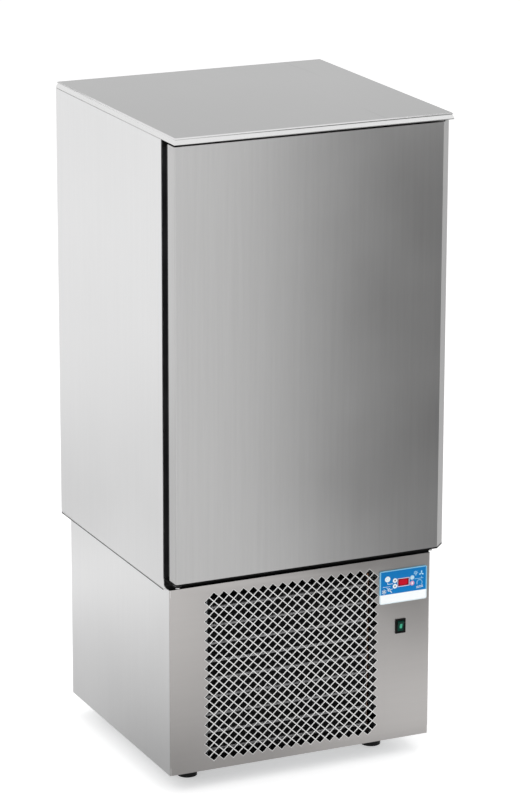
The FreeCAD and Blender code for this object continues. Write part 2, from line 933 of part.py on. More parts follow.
def rack_posts():
    """Square tubes that stand on the chamber's floor and carry the runners."""
    ends = (runner_front + rack_post_inset, runner_front + runner_length - rack_post_inset)
    z = (chamber_floor, level_floors[-1] + level_pitch)
    across = chamber_half - post_gap - post_size / 2
    posts = []
    for offset in ends:
        y = cabinet_front + offset
        for x in (-across, across):
            post = square_bar(x, y, post_size / 2, z)
            posts.append(post.cut(square_bar(x, y, post_size / 2 - runner_sheet, z)))
    return posts


def fan_levels():
    """Heights of the chamber fans, spread about the cooler's middle."""
    middle = (len(chamber_fans) - 1) / 2
    return [cooler_middle + fan_spacing * (i - middle) for i in range(len(chamber_fans))]


def fan_panel():
    """Sheet in front of the fans, folded back where it meets the chamber's sides."""
    z = (chamber_floor + duct_foot, chamber_top - duct_foot)
    y = fan_panel_y
    back = y + fan_panel_fold
    points = [
        (-chamber_half, y), (chamber_half, y), (chamber_half, back),
        (chamber_half - sheet, back), (chamber_half - sheet, y + sheet),
        (-chamber_half + sheet, y + sheet), (-chamber_half + sheet, back), (-chamber_half, back),
    ]
    body = upright(points, z)
    for level in fan_levels():
        body = body.cut(lying_rod(0, level, fan_opening, (y, y + sheet)))
    return body


def cooler_spans():
    y = (cooler_front, cooler_front + cooler_depth)
    z = (chamber_floor + cooler_end_clear, chamber_top - cooler_end_clear)
    return y, z


def cooler_fins():
    y, z = cooler_spans()
    return block((-cooler_width / 2, cooler_width / 2), y, z)


def cooler_end_plates():
    """Plates at both ends of the fins, flanged against the chamber's rear."""
    y, z = cooler_spans()
    plates = []
    for side in (-1, 1):
        near = side * cooler_width / 2
        far = near + side * end_plate
        flange = near + side * fan_panel_fold
        points = [
            (near, y[0]), (far, y[0]), (far, chamber_rear - end_plate),
            (flange, chamber_rear - end_plate), (flange, chamber_rear), (near, chamber_rear),
        ]
        plates.append(upright(points, z))
    return plates


def fan_mount():
    """Upright strip on the cooler's face that carries the fan motors."""
    z = cooler_spans()[1]
    half = fan_strip_width / 2
    return block((-half, half), (cooler_front - fan_strip, cooler_front), z)


def blade(kind, turn, y_middle):
    """One pitched blade, widening from the hub out and swept forward."""
    scale = kind["tip"] / chamber_fan["tip"]
    root = blade_root * scale / 2
    tip = blade_tip * scale / 2
    foot = kind["hub"] - blade_thickness
    outline_points = [(-root, foot), (root, foot), (tip, kind["tip"]), (root - tip, kind["tip"])]
    body = facing(outline_points, (-blade_thickness / 2, blade_thickness / 2))
    body.rotate(Vec(0, 0, 0), Vec(0, 0, 1), blade_pitch)
    body.translate(Vec(0, y_middle, 0))
    body.rotate(Vec(0, 0, 0), Vec(0, 1, 0), turn)
    return body


def fan_rotor(kind, x, z, y):
    """Hub with its blades, bored for the motor's shaft."""
    span = (y, y + kind["depth"])
    body = lying_rod(0, 0, kind["hub"], span)
    for i in range(fan_blades):
        body = body.fuse(blade(kind, full_turn * i / fan_blades, sum(span) / 2))
    body = body.cut(lying_rod(0, 0, shaft_radius + shaft_fit, span))
    body.translate(Vec(x, 0, z))
    return body


def fan_motor(kind, x, z, y, rotor_y):
    """Motor can behind the rotor, with the shaft the rotor turns on."""
    body = lying_rod(x, z, kind["motor"], (y, y + kind["body"]))
    return body.fuse(lying_rod(x, z, shaft_radius, (rotor_y + shaft_recess, y)))


def make_chamber():
    keep("tray_runners", *runner_side(-1), *runner_side(1))
    keep("rack_posts", *rack_posts())
    keep("fan_panel", fan_panel())
    keep("cooler_fins", cooler_fins())
    keep("cooler_end_plates", *cooler_end_plates())
    keep("fan_mount", fan_mount())
    motor_y = cooler_front - fan_strip - chamber_fan["body"]
    rotor_y = motor_y - shaft_step - chamber_fan["depth"]
    motors = []
    for name, z in zip(chamber_fans, fan_levels()):
        keep(f"chamber_fan_{name}", fan_rotor(chamber_fan, 0, z, rotor_y))
        motors.append(fan_motor(chamber_fan, 0, z, motor_y, rotor_y))
    keep("chamber_fan_motors", *motors)


# ---- refrigeration set in the base ----

def condenser_span():
    return grille_middle - condenser_half, grille_middle + condenser_half


def condenser_fins():
    z = (condenser_bottom, condenser_top)
    return block(condenser_span(), (condenser_front, condenser_back), z)


def condenser_brackets():
    """End plates that stand the condenser on the pan."""
    low, high = condenser_span()
    z = (pan_floor, condenser_top)
    y = (condenser_front, condenser_back)
    return [block((low - end_plate, low), y, z), block((high, high + end_plate), y, z)]


def condenser_headers():
    """Upright copper headers on the right end plate."""
    x = condenser_span()[1] + end_plate + header_radius
    z = (condenser_bottom, condenser_top)
    middle = (condenser_front + condenser_back) / 2
    return [standing_rod(x, middle + s * header_gap, header_radius, z) for s in (-1, 1)]


def fan_shroud():
    """Air box from the condenser to the fan's opening."""
    low, high = condenser_span()
    z = (condenser_bottom, condenser_top)
    body = block((low, high), (condenser_back, shroud_back), z)
    hollow = block(
        (low + sheet, high - sheet), (condenser_back, shroud_back - sheet),
        (z[0] + sheet, z[1] - sheet))
    mouth = lying_rod(
        grille_middle, condenser_middle, shroud_opening, (shroud_back - sheet, shroud_back))
    return body.cut(hollow).cut(mouth)


def fan_arm():
    """Flat arm across the shroud's opening that carries the motor."""
    half = arm_width / 2
    z = (condenser_bottom + arm_width, condenser_top - arm_width)
    y = (shroud_back, shroud_back + arm_thickness)
    body = block((grille_middle - half, grille_middle + half), y, z)
    hole = lying_rod(grille_middle, condenser_middle, shaft_radius + seal_gap, y)
    return body.cut(hole)


def compressor():
    """Hermetic pot with a stepped crown."""
    top = compressor_foot + compressor_body
    body = standing_rod(compressor_x, compressor_y, compressor_radius, (compressor_foot, top))
    return body.fuse(standing_rod(compressor_x, compressor_y, crown_radius, (top, compressor_crown)))


def compressor_mount():
    """Folded rail under the compressor, standing on the pan."""
    half = mount_size / 2
    x = (compressor_x - half, compressor_x + half)
    points = [
        (-half, pan_floor), (-half + mount_sheet, pan_floor),
        (-half + mount_sheet, compressor_foot - mount_sheet),
        (half - mount_sheet, compressor_foot - mount_sheet), (half - mount_sheet, pan_floor),
        (half, pan_floor), (half, compressor_foot), (-half, compressor_foot),
    ]
    return crosswise([(compressor_y + a, b) for a, b in points], x)


def receiver():
    z = (pan_floor, pan_floor + receiver_height)
    return standing_rod(receiver_x, receiver_y, receiver_radius, z)


def suction_pipe():
    """Straight up from the compressor's crown, through the cabinet, to the air cooler."""
    return standing_rod(
        suction_x, suction_y, pipe_radius, (compressor_crown, chamber_floor + cooler_end_clear))


def electrical_box():
    x = (base_half - box_side_gap - box_width, base_half - box_side_gap)
    y = (base_front + box_front_gap, base_front + box_front_gap + box_depth)
    z = (pan_floor, pan_floor + box_height)
    body = pan(x, y, z, box_lid)
    return body.fuse(block(x, y, (z[1], z[1] + box_lid))).removeSplitter()


def mains_inlet():
    """Cable gland in the rear panel, with a clear bore for the supply cable."""
    z = foot_height + inlet_height
    inner_face = base_rear - sheet
    outer = base_rear + inlet_nut_depth
    body = facing(polygon(inlet_x, z, inlet_nut), (base_rear, outer))
    whole = (inner_face - inlet_tail, outer + inlet_nose)
    body = body.fuse(facing(polygon(inlet_x, z, inlet_neck), whole))
    return body.cut(lying_rod(inlet_x, z, inlet_bore, whole)).removeSplitter()


def drain_tube():
    """Straight drain from the chamber's floor to the drip tray."""
    z = (pan_floor + tray_lift + tray_sheet + drain_end, chamber_floor)
    body = standing_rod(drain_x, drain_y, drain_radius, z)
    return body.cut(standing_rod(drain_x, drain_y, drain_bore, z))


def drip_tray():
    x = (drain_x - tray_width / 2, drain_x + tray_width / 2)
    y = (drain_y - tray_depth / 2, drain_y + tray_depth / 2)
    low = pan_floor + tray_lift
    body = pan(x, y, (low, low + tray_height), tray_sheet)
    for foot_x in (x[0], x[1] - tray_foot):
        body = body.fuse(block((foot_x, foot_x + tray_foot), y, (pan_floor, low)))
    return body.removeSplitter()


def make_refrigeration():
    keep("condenser_fins", condenser_fins())
    keep("condenser_brackets", *condenser_brackets())
    keep("fan_shroud", fan_shroud())
    keep("fan_arm", fan_arm())
    centre = (grille_middle, condenser_middle)
    rotor_y = shroud_back - arm_gap - base_fan["depth"]
    motor_y = shroud_back + arm_thickness + shaft_step
    keep("condenser_fan_motor", fan_motor(base_fan, *centre, motor_y, rotor_y))
    keep("condenser_fan", fan_rotor(base_fan, *centre, rotor_y))
    keep("compressor", compressor())
    keep("compressor_mount", compressor_mount())
    keep("liquid_receiver", receiver())
    keep("copper_pipes", suction_pipe(), *condenser_headers())
    keep("electrical_box", electrical_box())
    keep("mains_inlet", mains_inlet())
    keep("drain_tube", drain_tube())
    keep("drip_tray", drip_tray())


os.makedirs("parts", exist_ok=True)
make_feet()
make_base()
make_controls()
make_cabinet()
make_door()
make_chamber()
make_refrigeration()
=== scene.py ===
import math

import bmesh
import bpy
from mathutils import Matrix, Vector


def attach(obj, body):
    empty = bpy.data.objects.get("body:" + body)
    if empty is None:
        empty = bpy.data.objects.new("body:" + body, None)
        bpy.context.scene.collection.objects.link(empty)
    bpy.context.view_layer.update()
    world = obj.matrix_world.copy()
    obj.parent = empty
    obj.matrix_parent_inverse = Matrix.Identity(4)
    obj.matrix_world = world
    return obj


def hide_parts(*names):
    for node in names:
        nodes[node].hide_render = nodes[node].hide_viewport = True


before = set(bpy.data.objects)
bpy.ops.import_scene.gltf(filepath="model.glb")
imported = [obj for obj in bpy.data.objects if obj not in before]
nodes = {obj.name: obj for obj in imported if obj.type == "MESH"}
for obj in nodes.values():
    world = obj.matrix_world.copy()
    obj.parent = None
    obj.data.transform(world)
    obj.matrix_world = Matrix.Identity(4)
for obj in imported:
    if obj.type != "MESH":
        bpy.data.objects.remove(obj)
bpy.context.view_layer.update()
scene = bpy.context.scene
mm = 0.001
print("frame loaded:", len(nodes), "nodes")


# mesh helpers, all in millimetres on the way in
def at(x, y, z):
    return Vector((x, y, z)) * mm


def rectangle(across, along, inset=0.0):
    # corners from two ranges, all drawn in by the inset
    (a, b), (c, d) = across, along
    return [(a + inset, c + inset), (b - inset, c + inset), (b - inset, d - inset), (a + inset, d - inset)]


def around(middle, radius, angle):
    return middle[0] + radius * math.cos(angle), middle[1] + radius * math.sin(angle)


def fullTurn(steps):
    return [2 * math.pi * i / steps for i in range(steps)]


def addBlock(bm, x, y, z, bevel=0.0):
    middle = at((x[0] + x[1]) / 2, (y[0] + y[1]) / 2, (z[0] + z[1]) / 2)
    size = at(x[1] - x[0], y[1] - y[0], z[1] - z[0])
    scaling = Matrix.Diagonal((size.x, size.y, size.z, 1.0))
    made = bmesh.ops.create_cube(bm, size=1.0, matrix=Matrix.Translation(middle) @ scaling)
    if bevel:
        edges = list({e for v in made["verts"] for e in v.link_edges})
        bmesh.ops.bevel(bm, geom=edges, offset=bevel * mm, segments=2, affect="EDGES", profile=0.5)


def axisFrame(direction):
    ahead = Vector(direction).normalized()
    side = ahead.orthogonal().normalized()
    return side, ahead.cross(side), ahead


def bridgeRings(bm, rings, loop=False, wrap=True):
    # faces between neighbouring rings, where a ring of one vertex is a pole
    for low, high in list(zip(rings, rings[1:])) + ([(rings[-1], rings[0])] if loop else []):
        count = max(len(low), len(high))
        for i in range(count if wrap else count - 1):
            a, b = low[i % len(low)], low[(i + 1) % len(low)]
            c, d = high[(i + 1) % len(high)], high[i % len(high)]
            corners = list(dict.fromkeys([a, b, c, d]))
            if len(corners) > 2:
                bm.faces.new(corners)


def capEnds(bm, rings):
    for ring in (rings[0], rings[-1]):
        if len(ring) > 2:
            bm.faces.new(ring)


def roundRing(bm, middle, side, other, radius, sides):
    reach = radius * mm
    return [bm.verts.new(middle + (side * math.cos(t) + other * math.sin(t)) * reach) for t in fullTurn(sides)]


def addTurned(bm, profile, centre, direction=(0, 0, 1), sides=24):
    # profile is a list of (radius, height) along the direction
    side, other, ahead = axisFrame(direction)
    rings = []
    for radius, height in profile:
        middle = at(*centre) + ahead * height * mm
        rings.append(roundRing(bm, middle, side, other, radius, sides) if radius else [bm.verts.new(middle)])
    bridgeRings(bm, rings)
    capEnds(bm, rings)


def addTube(bm, points, radius, sides=10, closed=False):
    # round bar through a list of points
    path = [at(*p) for p in points]
    count = len(path)
    rings = []
    for i, p in enumerate(path):
        before = path[i - 1] if (i or closed) else p
        after = path[(i + 1) % count] if (i < count - 1 or closed) else p
        ahead = (after - before).normalized()
        side = ahead.cross(Vector((0.13, 0.27, 0.95))).normalized()
        rings.append(roundRing(bm, p, side, ahead.cross(side), radius, sides))
    bridgeRings(bm, rings, loop=closed)
    if not closed:
        capEnds(bm, rings)


def addFrameSweep(bm, x, z, profile):
    # profile is a closed list of (inset, y) swept round a rectangle with mitred corners
    rings = [[bm.verts.new(at(cx, y, cz)) for cx, cz in rectangle(x, z, inset)] for inset, y in profile]
    bridgeRings(bm, rings, loop=True)


def addObject(name, data):
    made = bpy.data.objects.new(name, data)
    scene.collection.objects.link(made)
    return made


def newPiece(name, build, material, body, replaced=(), smoothAngle=32, others=()):
    mesh = bpy.data.meshes.new(name)
    bm = bmesh.new()
    build(bm)
    bmesh.ops.recalc_face_normals(bm, faces=bm.faces)
    for face in bm.faces:
        face.smooth = True
    for edge in bm.edges:
        if len(edge.link_faces) != 2 or edge.calc_face_angle(0.0) > math.radians(smoothAngle):
            edge.smooth = False
    bm.to_mesh(mesh)
    bm.free()
    piece = addObject(name, mesh)
    mesh.materials.append(material)
    for index, (finish, picked) in enumerate(others, 1):
        mesh.materials.append(finish)
        for face in mesh.polygons:
            if picked(face):
                face.material_index = index
    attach(piece, body)
    if replaced:
        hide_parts(*replaced)
    return piece


# shader helpers
class Graph:
    def __init__(self, tree):
        self.tree = tree
        self.count = 0

    def node(self, kind, **settings):
        made = self.tree.nodes.new("ShaderNode" + kind)
        made.location = (220 * (self.count % 6) - 900, -260 * (self.count // 6))
        self.count += 1
        for key, value in settings.items():
            setattr(made, key, value)
        return made

    def put(self, socket, value):
        if isinstance(value, bpy.types.NodeSocket):
            self.tree.links.new(value, socket)
        else:
            socket.default_value = value

    def maths(self, operation, *values, clamp=False):
        made = self.node("Math", operation=operation, use_clamp=clamp)
        for socket, value in zip(made.inputs, values):
            self.put(socket, value)
        return made.outputs[0]

    def mix(self, factor, low, high, blend="MIX"):
        made = self.node("Mix", data_type="RGBA", blend_type=blend)
        self.put(made.inputs["Factor"], factor)
        self.put(made.inputs["A"], low)
        self.put(made.inputs["B"], high)
        return [s for s in made.outputs if s.type == "RGBA"][0]

    def between(self, value, low, high, toLow=0.0, toHigh=1.0, smooth=False):
        made = self.node("MapRange", interpolation_type="SMOOTHSTEP" if smooth else "LINEAR")
        given = {"Value": value, "From Min": low, "From Max": high, "To Min": toLow, "To Max": toHigh}
        for key, number in given.items():
            self.put(made.inputs[key], number)
        return made.outputs[0]

    def noise(self, vector, scale, detail=4.0, roughness=0.55):
        made = self.node("TexNoise")
        self.put(made.inputs["Vector"], vector)
        self.put(made.inputs["Scale"], scale)
        made.inputs["Detail"].default_value = detail
        made.inputs["Roughness"].default_value = roughness
        return made.outputs["Fac"]

    def split(self, vector):
        made = self.node("SeparateXYZ")
        self.put(made.inputs[0], vector)
        return made.outputs

    def bump(self, shader, height, strength, distance):
        ridge = self.node("Bump")
        ridge.inputs["Strength"].default_value = strength
        ridge.inputs["Distance"].default_value = distance
        self.put(ridge.inputs["Height"], height)
        self.put(shader.inputs["Normal"], ridge.outputs["Normal"])


def newGroup(name, inputs, outputs):
    tree = bpy.data.node_groups.new(name, "ShaderNodeTree")
    for socketName, kind, value in inputs:
        socket = tree.interface.new_socket(socketName, in_out="INPUT", socket_type="NodeSocket" + kind)
        socket.default_value = value
    for socketName, kind in outputs:
        tree.interface.new_socket(socketName, in_out="OUTPUT", socket_type="NodeSocket" + kind)
    graph = Graph(tree)
    return graph, graph.node("TexCoord"), tree.nodes.new("NodeGroupInput"), tree.nodes.new("NodeGroupOutput")


# rolled and brushed sheet: fine lines along the stretch, cloudy patches, a few scratches
def makeSheetGrain():
    g, where, given, out = newGroup(
        "sheetGrain",
        [("Stretch", "Vector", (1.0, 1.0, 1.0)), ("Lines", "Float", 900.0), ("Clouds", "Float", 3.0)],
        [("Line", "Float"), ("Cloud", "Float"), ("Scratch", "Float"), ("Streak", "Float")])
    spot = where.outputs["Object"]
    stretched = g.node("VectorMath", operation="MULTIPLY")
    g.put(stretched.inputs[0], spot)
    g.put(stretched.inputs[1], given.outputs["Stretch"])
    drawn = stretched.outputs[0]
    g.put(out.inputs["Line"], g.noise(drawn, given.outputs["Lines"], 5.0, 0.7))
    g.put(out.inputs["Cloud"], g.noise(spot, given.outputs["Clouds"], 3.0, 0.5))
    g.put(out.inputs["Streak"], g.noise(drawn, 90.0, 4.0, 0.65))
    g.put(out.inputs["Scratch"], g.between(g.noise(drawn, 61.0, 2.0, 0.4), 0.71, 0.76, smooth=True))
    return g.tree


# moulded or painted surface: fine texture, larger unevenness, dust on what faces up
def makeMouldGrain():
    g, where, given, out = newGroup(
        "mouldGrain",
        [("Texture", "Float", 1800.0), ("Patches", "Float", 12.0)],
        [("Height", "Float"), ("Patch", "Float"), ("Dust", "Float")])
    spot = where.outputs["Object"]
    g.put(out.inputs["Height"], g.noise(spot, given.outputs["Texture"], 3.0, 0.6))
    patch = g.noise(spot, given.outputs["Patches"], 4.0, 0.6)
    g.put(out.inputs["Patch"], patch)
    upward = g.between(g.split(g.node("NewGeometry").outputs["Normal"])["Z"], 0.3, 1.0)
    speck = g.noise(spot, 240.0, 4.0, 0.7)
    g.put(out.inputs["Dust"], g.maths("MULTIPLY", upward, g.maths("MULTIPLY", speck, patch)))
    return g.tree


sheetGrain = makeSheetGrain()
mouldGrain = makeMouldGrain()
print("shader groups built")


def newMaterial(name):
    material = bpy.data.materials.new(name)
    material.use_nodes = True
    tree = material.node_tree
    for node in list(tree.nodes):
        if node.type not in ("BSDF_PRINCIPLED", "OUTPUT_MATERIAL"):
            tree.nodes.remove(node)
    shader = [n for n in tree.nodes if n.type == "BSDF_PRINCIPLED"][0]
    return material, Graph(tree), shader


def useGroup(g, tree, **values):
    made = g.node("Group", node_tree=tree)
    for key, value in values.items():
        made.inputs[key].default_value = value
    return made


def rgba(tone):
    # a tone is one grey or three channels
    return (*tone, 1) if isinstance(tone, tuple) else (tone, tone, tone, 1)


def metalSheet(name, dark, light, roughness=(0.28, 0.4), stretch=(1, 1, 0.03), lines=900.0,
               clouds=3.0, bump=0.03, scratch=0.06, metallic=1.0, lineTone=0.06, streakTone=0.05):
    material, g, shader = newMaterial(name)
    grain = useGroup(g, sheetGrain, Stretch=stretch, Lines=lines, Clouds=clouds)
    tone = g.mix(g.between(grain.outputs["Cloud"], 0.3, 0.7), rgba(dark), rgba(light))
    lined = g.mix(g.between(grain.outputs["Line"], 0.3, 0.7, 0.0, lineTone), tone, rgba(0.25), "MULTIPLY")
    streak = g.between(grain.outputs["Streak"], 0.35, 0.65, 0.0, streakTone)
    g.put(shader.inputs["Base Color"], g.mix(streak, lined, rgba(0.2), "MULTIPLY"))
    rough = g.between(grain.outputs["Cloud"], 0.3, 0.7, *roughness)
    scratched = g.maths("MULTIPLY", grain.outputs["Scratch"], scratch)
    g.put(shader.inputs["Roughness"], g.maths("ADD", rough, scratched, clamp=True))
    shader.inputs["Metallic"].default_value = metallic
    g.bump(shader, grain.outputs["Line"], bump, 0.0004)
    return material


def mouldedStuff(name, dark, light, roughness=(0.45, 0.62), texture=1800.0, patches=12.0, bump=0.15,
                 dust=0.12, coat=0.0, depth=0.0003, specular=0.5):
    material, g, shader = newMaterial(name)
    grain = useGroup(g, mouldGrain, Texture=texture, Patches=patches)
    tone = g.mix(g.between(grain.outputs["Patch"], 0.3, 0.7), rgba(dark), rgba(light))
    if dust:
        tone = g.mix(g.maths("MULTIPLY", grain.outputs["Dust"], dust), tone, rgba((0.55, 0.53, 0.5)))
    g.put(shader.inputs["Base Color"], tone)
    g.put(shader.inputs["Roughness"], g.between(grain.outputs["Height"], 0.3, 0.7, *roughness))
    shader.inputs["Coat Weight"].default_value = coat
    shader.inputs["Specular IOR Level"].default_value = specular
    g.bump(shader, grain.outputs["Height"], bump, depth)
    return material


def sheet(*values, **settings):
    return lambda name: metalSheet(name, *values, **settings)


def moulded(*values, **settings):
    return lambda name: mouldedStuff(name, *values, **settings)


# dark tone, light tone and roughness, then a sheet's stretch, lines, clouds and bump
# or a moulding's texture, patches and bump
finishes = {
    # the door's steel is a darker copy of the cabinet's side steel: painted shade
    "doorSteelPaintedShade": sheet((0.575, 0.572, 0.57), (0.6, 0.598, 0.596), (0.33, 0.37), (1, 1, 0.02), bump=0.02),
    "sideSteel": sheet((0.775, 0.775, 0.777), (0.82, 0.82, 0.822), (0.32, 0.4), (1, 1, 0.02), clouds=2.2,
                       bump=0.015, lineTone=0.03, streakTone=0.02),
    # the base's sides and back and the front panel's side returns get a lighter copy of the cabinet's side
    # steel: painted light
    "baseSideSteelPaintedLight": sheet((0.86, 0.86, 0.862), (0.9, 0.9, 0.902), (0.32, 0.4), (1, 1, 0.02), clouds=2.2,
                           bump=0.015, lineTone=0.03, streakTone=0.02),
    # the lid's top is a darker copy of the cabinet's side steel: painted shade
    "lidSteelPaintedShade": sheet(0.42, 0.45, (0.36, 0.42), (1, 0.02, 1), clouds=2.5, bump=0.012, lineTone=0.02,
                      streakTone=0.012),
    "baseSteel": sheet((0.57, 0.55, 0.538), (0.61, 0.59, 0.578), (0.32, 0.4), (0.02, 1, 1), bump=0.015,
                       lineTone=0.025, streakTone=0.02),
    # the bars between the front panel's holes get a near-white copy of its steel: painted highlight on the hole
    # edges
    "punchedSteelPaintedHighlight": sheet((0.93, 0.93, 0.92), (0.97, 0.97, 0.96), (0.4, 0.5), (0.02, 1, 1), bump=0.02,
                          metallic=0.6),
    # the lid's rolled edge is a far lighter copy of the lid's steel: painted highlight
    "edgeSteelPaintedHighlight": sheet(0.74, 0.78, (0.16, 0.2), (0.05, 0.05, 1), bump=0.004, scratch=0.02, lineTone=0.01,
                       streakTone=0.01),
    "innerSteel": sheet(0.6, 0.7, (0.3, 0.45), (0.03, 1, 1), bump=0.06),
    "wireSteel": sheet(0.6, 0.72, (0.2, 0.3), (1, 1, 1), bump=0.03),
    "zincSheet": sheet((0.42, 0.44, 0.46), (0.6, 0.62, 0.64), (0.35, 0.55), (1, 1, 1), 160.0, 26.0, 0.08),
    "pinChrome": sheet((0.78, 0.78, 0.79), (0.86, 0.86, 0.87), (0.06, 0.14), (1, 1, 1), bump=0.02),
    # the condenser's fins are near black: painted shade for the dark inside of the base behind the grille
    "finPaintedShadeBlack": sheet((0.012, 0.012, 0.013), (0.03, 0.03, 0.032), (0.45, 0.6), (1, 1, 0.1), 500.0, 14.0, 0.1,
                       metallic=0.3),
    "dullTube": sheet((0.4, 0.4, 0.41), (0.8, 0.8, 0.81), (0.35, 0.6), (1, 1, 1), 300.0, 30.0, 0.1),
    "finFoil": sheet((0.5, 0.51, 0.52), (0.66, 0.67, 0.68), (0.3, 0.5), (1, 1, 0.1), 500.0, 14.0, 0.1),
    "copperTube": sheet((0.55, 0.25, 0.13), (0.83, 0.45, 0.28), (0.2, 0.45), (1, 1, 1), 300.0, 20.0, 0.05),
    "blackPlastic": moulded((0.008, 0.008, 0.009), (0.018, 0.018, 0.019), specular=0.16),
    "blackRubber": moulded(0.01, 0.022, (0.65, 0.85), 900.0, 8.0, 0.3, specular=0.2),
    # matte black with almost no reflection: painted shade for the gap under the door
    "gapPaintedShade": moulded(0.004, 0.01, (0.7, 0.85), dust=0.0, specular=0.05),
    "seamShade": moulded(0.11, 0.15, (0.6, 0.75), dust=0.0, specular=0.1),
    "blackPaint": moulded((0.01, 0.01, 0.011), (0.02, 0.02, 0.022), (0.28, 0.42), 500.0, 9.0, 0.08, coat=0.3),
    "motorPaint": moulded((0.05, 0.055, 0.06), (0.09, 0.095, 0.1), (0.4, 0.55), 700.0, 10.0, 0.12),
    "fanPlastic": moulded((0.025, 0.026, 0.028), (0.05, 0.05, 0.053), (0.35, 0.5)),
    "greyPlastic": moulded((0.3, 0.31, 0.32), (0.38, 0.39, 0.4)),
    "whiteKey": moulded((0.82, 0.9, 0.94), (0.92, 0.97, 1.0), (0.3, 0.42), dust=0.0, specular=0.2),
    "paleBlueKey": moulded((0.3, 0.58, 0.78), (0.42, 0.68, 0.86), (0.3, 0.42), dust=0.0, specular=0.2),
    "pinkKey": moulded((0.6, 0.28, 0.45), (0.72, 0.38, 0.55), (0.3, 0.42), dust=0.0, specular=0.2),
    "bushPlastic": moulded((0.06, 0.06, 0.065), (0.1, 0.1, 0.105), (0.3, 0.45)),
    "foamFill": moulded((0.62, 0.55, 0.38), (0.74, 0.68, 0.5), (0.8, 0.95), 420.0, 30.0, 0.5, depth=0.0008),
    "printWhite": moulded((0.78, 0.88, 0.93), (0.9, 0.97, 1.0), (0.3, 0.4), dust=0.0, specular=0.15),
    "printPale": moulded((0.34, 0.68, 0.86), (0.48, 0.78, 0.93), (0.3, 0.4), dust=0.0, specular=0.15),
    "printDark": moulded((0.01, 0.03, 0.06), (0.02, 0.05, 0.09), (0.3, 0.4), dust=0.0, specular=0.15),
    "printPink": moulded((0.75, 0.5, 0.6), (0.9, 0.7, 0.78), (0.3, 0.4), dust=0.0, specular=0.15),
}
look = {name: make(name) for name, make in finishes.items()}
print("plain finishes built:", len(look))

# the printed film on the bezel: blue field, white strip below, pale edge line
film = {"x": (231.0, 372.0), "z": (452.0, 546.0), "strip": 26.5, "edge": 2.6, "edgeBlur": 0.4, "stripBlur": 0.2}


def makeFilmFinish():
    material, g, shader = newMaterial("controlFilm")
    axes = g.split(g.node("TexCoord").outputs["Object"])
    outside = []
    for axis in "xz":
        low, high = film[axis]
        off = g.maths("ABSOLUTE", g.maths("SUBTRACT", axes[axis.upper()], (low + high) / 2 * mm))
        outside.append(g.maths("SUBTRACT", off, (high - low) / 2 * mm))
    near = g.maths("MAXIMUM", *outside)
    edge = g.between(near, -(film["edge"] + film["edgeBlur"]) * mm, -film["edge"] * mm)
    top, blur = film["z"][0] + film["strip"], film["stripBlur"]
    strip = g.between(axes["Z"], (top - blur) * mm, (top + blur) * mm, 1.0, 0.0)
    grain = useGroup(g, mouldGrain, Texture=1500.0, Patches=30.0)
    shader.inputs["Specular IOR Level"].default_value = 0.12
    blue = g.mix(grain.outputs["Patch"], (0.0, 0.175, 0.49, 1), (0.0, 0.205, 0.56, 1))
    white = g.mix(grain.outputs["Patch"], (0.9, 0.94, 0.95, 1), (0.97, 0.99, 1.0, 1))
    field = g.mix(strip, blue, white)
    pale = g.mix(strip, (0.25, 0.58, 0.8, 1), (0.72, 0.82, 0.86, 1))
    g.put(shader.inputs["Base Color"], g.mix(edge, field, pale))
    g.put(shader.inputs["Roughness"], g.between(grain.outputs["Height"], 0.3, 0.7, 0.32, 0.42))
    g.bump(shader, grain.outputs["Height"], 0.08, 0.0002)
    return material


# lit window or rocker, darker towards its corners
def makeGlowFinish(name, middle, half, bright, dim, power, corner):
    material, g, shader = newMaterial(name)
    where = g.node("TexCoord").outputs["Object"]
    axes = g.split(where)
    sides = []
    for axis, centre, reach in zip("XZ", middle, half):
        off = g.maths("DIVIDE", g.maths("SUBTRACT", axes[axis], centre * mm), reach * mm)
        sides.append(g.maths("POWER", g.maths("ABSOLUTE", off), 4.0))
    lit = g.between(g.maths("ADD", *sides), 0.05, corner, 1.0, 0.0, smooth=True)
    speck = g.noise(where, 700.0, 2.0)
    tone = g.mix(g.maths("MULTIPLY", lit, g.between(speck, 0.2, 0.8, 0.8, 1.0)), rgba(dim), rgba(bright))
    g.put(shader.inputs["Base Color"], tone)
    g.put(shader.inputs["Emission Color"], tone)
    shader.inputs["Emission Strength"].default_value = power
    g.put(shader.inputs["Roughness"], g.between(speck, 0.2, 0.8, 0.12, 0.24))
    shader.inputs["Specular IOR Level"].default_value = 0.15
    return material


look["controlFilm"] = makeFilmFinish()
# centre, half size, bright and dim colour, power, reach of the light
glows = {
    "redWindow": ((301.5, 508.0), (16.0, 10.0), (0.56, 0.005, 0.02), (0.03, 0.0, 0.004), 0.12, 0.95),
    "greenRocker": ((296.0, 383.0), (5.0, 9.0), (0.05, 0.4, 0.24), (0.0, 0.03, 0.02), 0.12, 0.6),
}
for name, values in glows.items():
    look[name] = makeGlowFinish(name, *values)

